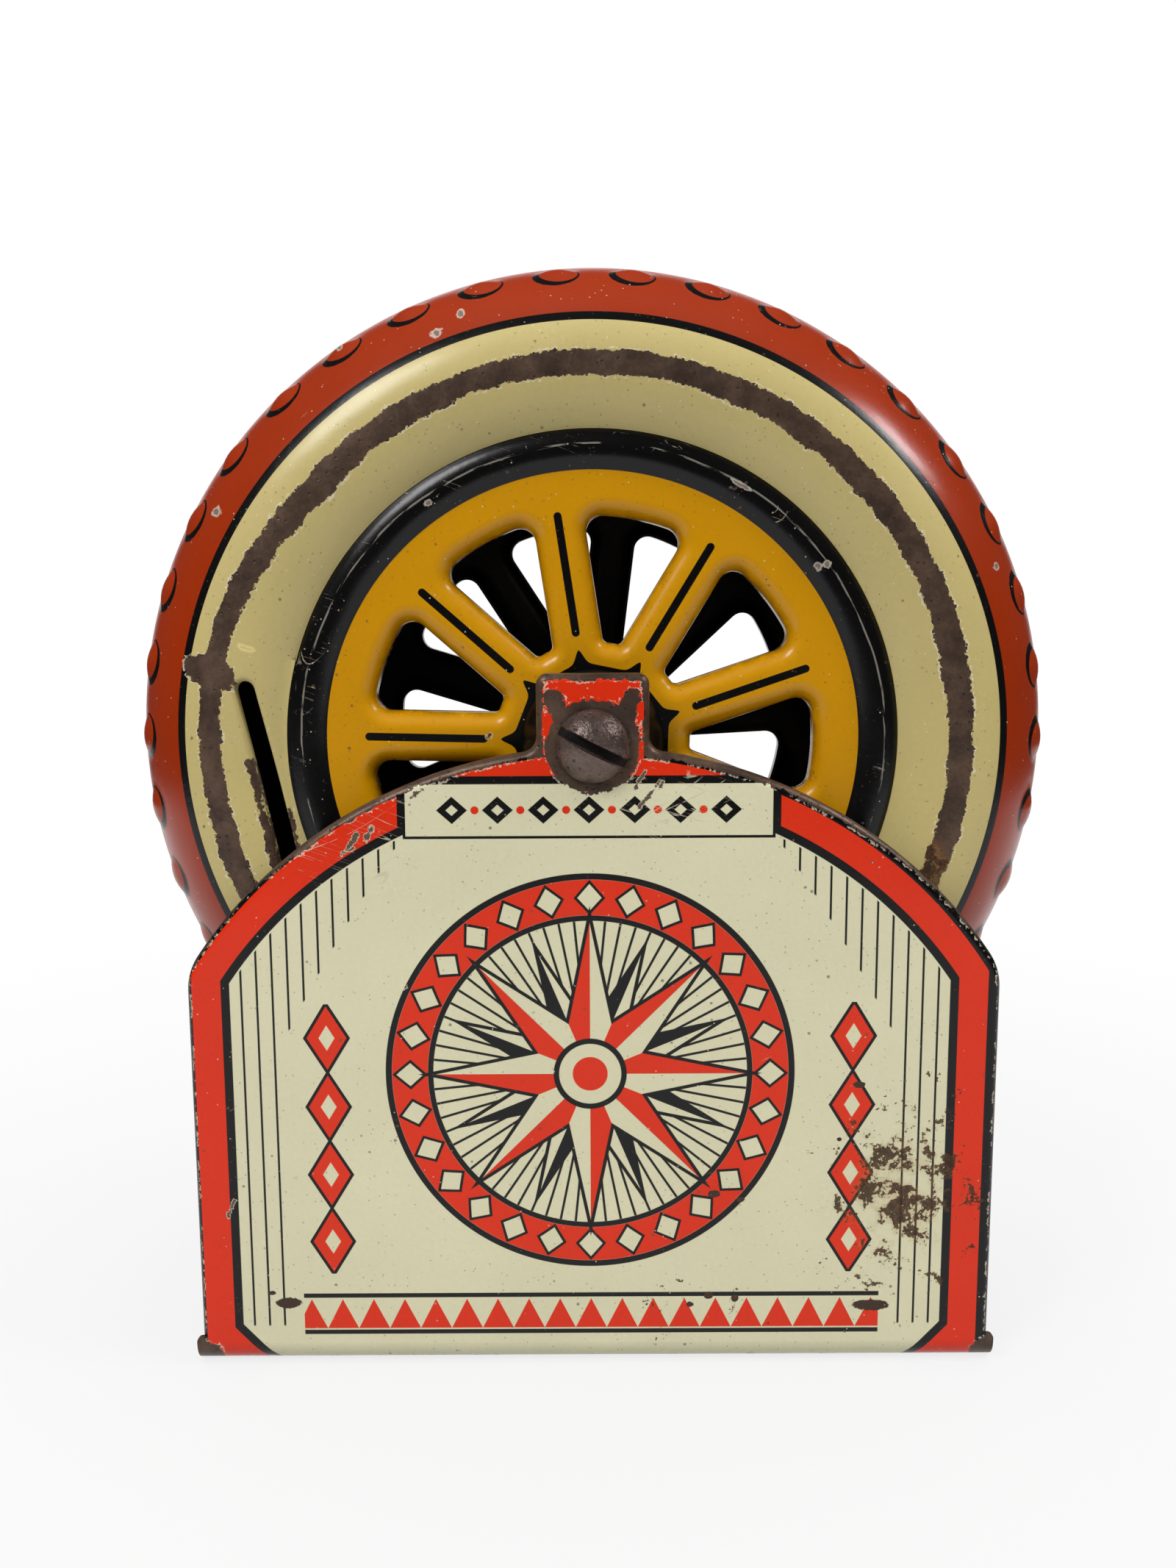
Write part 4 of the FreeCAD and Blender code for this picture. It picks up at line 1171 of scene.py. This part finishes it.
def knob_tree(material):
    """Geometry nodes that push the ring of round knobs out of the tread."""
    tree = bpy.data.node_groups.new("tread_knobs", "GeometryNodeTree")
    tree.interface.new_socket(name="Geometry", in_out="INPUT", socket_type="NodeSocketGeometry")
    sizes = {
        "Knob Count": KNOB_COUNT,
        "Knob Radius": KNOB_RADIUS,
        "Knob Height": KNOB_HEIGHT,
        "Knob Line": KNOB_LINE,
        "Knob Phase": KNOB_PHASE,
    }
    for label in sizes:
        tree.interface.new_socket(name=label, in_out="INPUT", socket_type="NodeSocketFloat")
    tree.interface.new_socket(name="Geometry", in_out="OUTPUT", socket_type="NodeSocketGeometry")
    entry = tree.nodes.new("NodeGroupInput")
    leave = tree.nodes.new("NodeGroupOutput")
    given = {label: Field(entry.outputs[label]) for label in sizes}
    position = tree.nodes.new("GeometryNodeInputPosition")
    x, y, depth = parts_of(Field(position.outputs[0]))
    radius = reach(x, y)
    off_knob = ((bearing(y, x) - given["Knob Phase"]) * given["Knob Count"] / 360).off_nearest()
    around = off_knob * radius * (2 * math.pi) / given["Knob Count"]
    along = (depth - given["Knob Line"]) / KNOB_TILT
    out = reach(around, along) / given["Knob Radius"]
    cap = (1.0 - out * out).at_least(0.0).math("POWER", 1.2)
    lift = cap * given["Knob Height"] * radius.above(RIDGE_RADIUS)
    normal = tree.nodes.new("GeometryNodeInputNormal")
    push_by = {0: Field(normal.outputs[0]), "Scale": lift}
    push = add_node(tree, "ShaderNodeVectorMath", push_by, operation="SCALE")
    move = tree.nodes.new("GeometryNodeSetPosition")
    realize = tree.nodes.new("GeometryNodeRealizeInstances")
    paint = tree.nodes.new("GeometryNodeSetMaterial")
    paint.inputs["Material"].default_value = material
    tree.links.new(entry.outputs["Geometry"], move.inputs["Geometry"])
    feed(move.inputs["Offset"], push)
    tree.links.new(move.outputs[0], realize.inputs[0])
    tree.links.new(realize.outputs[0], paint.inputs["Geometry"])
    tree.links.new(paint.outputs[0], leave.inputs["Geometry"])
    return tree, sizes


def with_knobs(mesh, tree, sizes):
    """The shell's mesh with its knobs pushed out."""
    holder = add_object("tread_blank", mesh)
    press = holder.modifiers.new("tread_knobs", "NODES")
    press.node_group = tree
    for socket in tree.interface.items_tree:
        if socket.in_out == "INPUT" and socket.name in sizes:
            press[socket.identifier] = float(sizes[socket.name])
    return made_mesh(holder)


# The stand.
def upright_outline(inset, drop):
    """The arched outline with its tab, from the right foot over the top to the left foot. The arch is
    lowered by the drop, the tab is not."""
    centre = ARCH_CENTRE - drop
    shoulder_x = HALF_WIDTH - SHOULDER_RADIUS
    shoulder_z = math.sqrt((ARCH_RADIUS - SHOULDER_RADIUS) ** 2 - shoulder_x ** 2)
    shoulder = (shoulder_x, centre + shoulder_z)
    fillet_x = TAB_HALF + TAB_FILLET
    fillet_z = math.sqrt((ARCH_RADIUS + TAB_FILLET) ** 2 - fillet_x ** 2)
    corner = (TAB_HALF - TAB_CORNER, TAB_TOP - TAB_CORNER)
    arch_start = math.degrees(math.atan2(shoulder_z, shoulder_x))
    arch_end = math.degrees(math.atan2(fillet_z, fillet_x))
    side = HALF_WIDTH - inset
    right = line_points((side, FLANGE_FOOT), (side, shoulder[1]), 20)
    right += arc_points(shoulder, SHOULDER_RADIUS - inset, 0, arch_start, 16)
    right += arc_points((0, centre), ARCH_RADIUS - inset, arch_start, arch_end, 48)
    right += arc_points((fillet_x, centre + fillet_z), TAB_FILLET + inset, arch_end + 180, 180, 8)
    right += line_points((TAB_HALF - inset, centre + fillet_z), (TAB_HALF - inset, corner[1]), 6)
    right += arc_points(corner, TAB_CORNER - inset, 0, 90, 8)
    right += line_points((corner[0], TAB_TOP - inset), (0, TAB_TOP - inset), 5)
    return right + [(0, TAB_TOP - inset)] + [(-x, z) for x, z in reversed(right)]


def press_upright(sheet, side):
    """One upright with its edge turned back all round; side is -1 for the front and 1 for the rear.
    Returns the row of points where its lower bend meets the floor."""
    first = len(sheet.faces)
    drop = REAR_ARCH_DROP if side > 0 else 0.0

    def row(places, depth):
        return sheet.ring([(x, side * depth, z) for x, z in places])

    edge_rows = []
    for inset, sink in [(EDGE_BEND + GUARD, 0.0), *rolled(EDGE_BEND, 6), (0.0, FLANGE_DEPTH)]:
        edge_rows.append(row(upright_outline(inset, drop), FRONT_FACE - sink))
    sheet.stack(edge_rows, closed=False, outwards=True)

    ear = arc_points((HALF_WIDTH, FLANGE_FOOT - EAR_REACH), EAR_REACH, 0, 90, 6)
    ear.append((HALF_WIDTH, FLANGE_FOOT))
    ear_left = row([(-x, z) for x, z in reversed(ear)], FRONT_FACE)
    ear_right = row(ear, FRONT_FACE)
    columns = [-EAR_HALF + 2 * EAR_HALF * step / 60 for step in range(61)]
    bend_rows = []
    for height, sink in [(FLOOR_BEND + GUARD, 0.0), *rolled(FLOOR_BEND, 7)]:
        bend_rows.append(row([(x, height) for x in columns], FRONT_FACE - sink))
    sheet.stack(bend_rows, closed=False, outwards=True)
    hole_edge = row(arc_points((0, AXLE_HEIGHT), SHANK_HOLE, 0, 360, 40), FRONT_FACE)
    hole_guard = row(arc_points((0, AXLE_HEIGHT), SHANK_HOLE + GUARD, 0, 360, 40), FRONT_FACE)
    sheet.bridge(hole_guard, hole_edge)
    left_foot = [edge_rows[1][-1]]
    right_foot = [edge_rows[1][0]]
    outside = edge_rows[0] + left_foot + ear_left + bend_rows[0] + ear_right + right_foot
    sheet.fill([outside, hole_guard], plane=(0, 2))
    if side > 0:
        sheet.faces[first:] = [tuple(reversed(face)) for face in sheet.faces[first:]]
    return bend_rows[-1]


def press_stand():
    """Floor and both uprights: one bent sheet."""
    sheet = Pressing()
    front = press_upright(sheet, -1)
    rear = press_upright(sheet, 1)
    rows = [front]
    for step in range(1, 8):
        share = step / 8
        rows.append(sheet.ring([tuple(Vector(sheet.points[a]).lerp(Vector(sheet.points[b]), share))
                                for a, b in zip(front, rear)]))
    rows.append(rear)
    sheet.stack(rows, closed=False, outwards=True)
    return sheet.mesh("stand_sheet")


# The axle.
def turn_screw():
    """The round-headed screw along its own +Z, its driver slot not cut yet."""
    blank = Pressing()
    dome = HEAD_HEIGHT - HEAD_RIM
    ball = (HEAD_RADIUS ** 2 + dome ** 2) / (2 * dome)
    lowest = math.degrees(math.asin((ball - dome) / ball))
    end = -(FRONT_FACE + NUT_THICKNESS + SCREW_END)
    profile = [(POLE_RADIUS, FRONT_FACE + HEAD_HEIGHT)]
    crown = arc_points((0, FRONT_FACE + HEAD_HEIGHT - ball), ball, lowest, 89, 14)
    profile += list(reversed(crown))
    thread_start = -FRONT_FACE + THREAD_LEAD
    profile += [
        (HEAD_RADIUS, FRONT_FACE + HEAD_EDGE),
        (HEAD_RADIUS - HEAD_EDGE, FRONT_FACE),
        (SHANK_RADIUS, FRONT_FACE),
        (SHANK_RADIUS, thread_start),
    ]
    turns = int((thread_start - end) / THREAD_PITCH)
    for number in range(turns):
        crest = thread_start - number * THREAD_PITCH
        for share, radius in ((0.1, SHANK_RADIUS), (0.5, SHANK_RADIUS - THREAD_DEPTH), (0.9, SHANK_RADIUS)):
            profile.append((radius, crest - share * THREAD_PITCH))
    profile += [(SHANK_RADIUS - SCREW_POINT, end), (POLE_RADIUS, end)]
    rings = [blank.ring(circle(radius, depth, TURNED_SEGMENTS)) for radius, depth in profile]
    blank.stack(rings, outwards=True)
    blank.faces.append(tuple(rings[0]))
    blank.faces.append(tuple(reversed(rings[-1])))
    return blank.mesh("screw_blank", SCREW_CRISP)


def cut_driver_slot(mesh):
    """Cuts the screwdriver slot across the head."""
    blank = add_object("screw_blank", mesh)
    cutter_mesh = bpy.data.meshes.new("driver_slot")
    cutter = bmesh.new()
    floor = FRONT_FACE + HEAD_HEIGHT - DRIVER_SLOT_DEPTH
    size = (2 * HEAD_RADIUS + 2, DRIVER_SLOT_WIDTH, 2 * HEAD_HEIGHT, 1)
    place = Matrix.Rotation(math.radians(DRIVER_SLOT_ANGLE), 4, "Z")
    place = place @ Matrix.Translation((0, 0, floor + HEAD_HEIGHT)) @ Matrix.Diagonal(size)
    bmesh.ops.create_cube(cutter, size=1.0, matrix=place)
    cutter.to_mesh(cutter_mesh)
    cutter.free()
    tool = add_object("driver_slot", cutter_mesh)
    cut = blank.modifiers.new("driver_slot", "BOOLEAN")
    cut.operation = "DIFFERENCE"
    cut.solver = "EXACT"
    cut.object = tool
    slotted = made_mesh(blank)
    bpy.data.objects.remove(tool)
    crisp_edges(slotted, SCREW_CRISP)
    return slotted


def soften_edges(piece, width):
    bevel = piece.modifiers.new("softened_edges", "BEVEL")
    bevel.width = width * MM
    bevel.segments = 2
    bevel.limit_method = "ANGLE"
    bevel.angle_limit = math.radians(SOFTENED_FROM)


def cut_nut():
    """The square nut along its own +Z, its outer corners turned off."""
    nut = Pressing()
    nut_top = FRONT_FACE + NUT_THICKNESS
    low = []
    high = []
    top = []
    for step in range(TURNED_SEGMENTS):
        angle = 2 * math.pi * step / TURNED_SEGMENTS
        x = math.cos(angle)
        y = math.sin(angle)
        across = min(NUT_HALF / max(abs(x), abs(y)), NUT_CORNER)
        drop = max(0.0, across - NUT_CHAMFER_RADIUS) * NUT_CHAMFER_SLOPE
        flat = min(across, NUT_CHAMFER_RADIUS)
        low.append((across * x, across * y, FRONT_FACE))
        high.append((across * x, across * y, nut_top - drop - NUT_EDGE))
        top.append((flat * x, flat * y, nut_top))
    bore = SHANK_RADIUS + THREAD_CLEARANCE
    mouth = circle(bore + NUT_MOUTH, nut_top, TURNED_SEGMENTS)
    bore_top = circle(bore, nut_top - NUT_MOUTH, TURNED_SEGMENTS)
    bore_low = circle(bore, FRONT_FACE, TURNED_SEGMENTS)
    rings = [nut.ring(places) for places in (low, high, top, mouth, bore_top, bore_low)]
    nut.stack(rings + rings[:1])
    return nut.mesh("nut", NUT_CRISP)


# Making the pieces.
tarnish = tarnish_group()
aged_print = aged_print_group(tarnish)
wheel_print = wheel_print_material(aged_print)
stand_print = stand_print_material(aged_print)
inside_tin = metal_material("inside_tin", tarnish, ink(46, 38, 31), 0.35, 0.18)
screw_steel = metal_material("screw_steel", tarnish, ink(104, 88, 81), 0.6, 0.2, slotted=True)
nut_steel = metal_material("nut_steel", tarnish, ink(128, 120, 110), 0.85, 0.2)

knobs, knob_sizes = knob_tree(wheel_print)
for node_name, facing, clocking, slotted in (
    ("front_wheel_shell", "front", FRONT_CLOCKING, True),
    ("rear_wheel_shell", "rear", REAR_CLOCKING, False),
):
    pressed = with_knobs(press_shell(f"{facing}_shell", slotted), knobs, knob_sizes)
    on_axle = facing_axle(facing, clocking)
    shell_piece = place_piece(f"{facing}_shell", pressed, on_axle, [wheel_print, inside_tin])
    thicken(shell_piece, WHEEL_SHEET)
    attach(shell_piece, "wheel")
    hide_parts(node_name)

stand_piece = place_piece("pressed_stand", press_stand(), Matrix.Scale(MM, 4), [stand_print, inside_tin])
thicken(stand_piece, STAND_SHEET)
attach(stand_piece, "stand")
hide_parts("stand")

screw_mesh = cut_driver_slot(turn_screw())
screw_piece = place_piece("slotted_screw", screw_mesh, facing_axle("front"), [screw_steel])
soften_edges(screw_piece, 0.1)
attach(screw_piece, "stand")
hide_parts("axle_screw")

nut_piece = place_piece("square_nut", cut_nut(), facing_axle("rear"), [nut_steel])
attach(nut_piece, "stand")
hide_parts("axle_nut")

sleeve_node = frame["nodes"]["axle_sleeve"]
for slot in sleeve_node.material_slots:
    slot.material = nut_steel


# The studio.
def rays_seen(tree):
    """Which rays the camera sees by: straight, by reflection, through glass."""
    node = tree.nodes.new("ShaderNodeLightPath")
    return [Field(node.outputs[f"Is {ray} Ray"]) for ray in ("Camera", "Glossy", "Transmission")]


def studio_floor():
    """A pale floor that keeps the shadow near the bank and runs out to plain white."""
    mesh = bpy.data.meshes.new("studio_floor")
    half = 0.35
    corners = [(-half, -half, 0), (half, -half, 0), (half, half, 0), (-half, half, 0)]
    mesh.from_pydata(corners, [], [(0, 1, 2, 3)])
    floor = add_object("studio_floor", mesh)
    material = bpy.data.materials.new("pale_floor")
    material.use_nodes = True
    tree = material.node_tree
    tree.nodes.clear()
    paper = tree.nodes.new("ShaderNodeBsdfDiffuse")
    paper.inputs["Color"].default_value = (0.45, 0.45, 0.45, 1.0)
    glow = tree.nodes.new("ShaderNodeEmission")
    coordinate = tree.nodes.new("ShaderNodeTexCoord")
    x, y, _ = parts_of(Field(coordinate.outputs["Object"]))
    far = reach(x, y).above(0.15, 0.22) * 0.2 + 0.8
    camera, gloss, glass = rays_seen(tree)
    blend = tree.nodes.new("ShaderNodeMixShader")
    feed(blend.inputs[0], far * camera.at_least(gloss).at_least(glass))
    tree.links.new(paper.outputs[0], blend.inputs[1])
    tree.links.new(glow.outputs[0], blend.inputs[2])
    leave = tree.nodes.new("ShaderNodeOutputMaterial")
    tree.links.new(blend.outputs[0], leave.inputs["Surface"])
    mesh.materials.append(material)


def studio_world():
    """White where the camera sees it; what lights the bank is a soft ceiling and a softer front."""
    world = bpy.data.worlds.new("studio")
    bpy.context.scene.world = world
    world.use_nodes = True
    tree = world.node_tree
    sky = tree.nodes["Background"]
    sky.inputs["Color"].default_value = (1.0, 1.0, 1.0, 1.0)
    camera, gloss, glass = rays_seen(tree)
    coordinate = tree.nodes.new("ShaderNodeTexCoord")
    _, towards_backdrop, up = parts_of(Field(coordinate.outputs["Generated"]))
    room = towards_backdrop.above(0.85, 0.12) * 0.95 + 0.05
    fill = (towards_backdrop * -0.18).at_least(towards_backdrop * 0.35) + 0.04
    ceiling = up.at_least(0.0).math("POWER", 3.0) * 2.6
    lit = (1.0 - gloss) * (fill + ceiling)
    feed(sky.inputs["Strength"], camera.at_least(glass).at_least(gloss * room + lit))


def softbox(name, place, size, power):
    """A rectangular lamp at a place, in metres from the axle, pointed at the axle."""
    lamp = bpy.data.lights.new(name, "AREA")
    lamp.shape = "RECTANGLE"
    lamp.size = size[0]
    lamp.size_y = size[1]
    lamp.energy = power
    holder = add_object(name, lamp)
    axle = Vector((0, 0, AXLE_HEIGHT * MM))
    holder.location = axle + Vector(place)
    holder.rotation_euler = (-Vector(place)).to_track_quat("-Z", "Y").to_euler()


def photograph_camera():
    """The camera at the photograph's place: close, a little above the axle, looking slightly down."""
    width_px = 1600
    focal_px = 1803.2
    pitch = 0.13976
    roll = -0.0046
    aside = -0.61
    before_axle = 182.9
    above_axle = 17.88
    lens = bpy.data.cameras.new("camera")
    lens.sensor_fit = "HORIZONTAL"
    lens.sensor_width = 36.0
    lens.lens = focal_px / width_px * lens.sensor_width
    lens.clip_start = 0.01
    holder = add_object("camera", lens)
    place = Matrix.Translation((aside * MM, -before_axle * MM, (AXLE_HEIGHT + above_axle) * MM))
    turn = Matrix.Rotation(math.pi / 2 - pitch, 4, "X") @ Matrix.Rotation(roll, 4, "Z")
    holder.matrix_world = place @ turn
    bpy.context.scene.camera = holder


studio_floor()
studio_world()
softbox("left_softbox", (-0.38, -0.44, 0.5), (0.24, 0.24), 3.05)
softbox("right_softbox", (0.57, -0.12, 0.49), (0.24, 0.14), 2.1)
photograph_camera()
bpy.context.scene.view_settings.view_transform = "Standard"
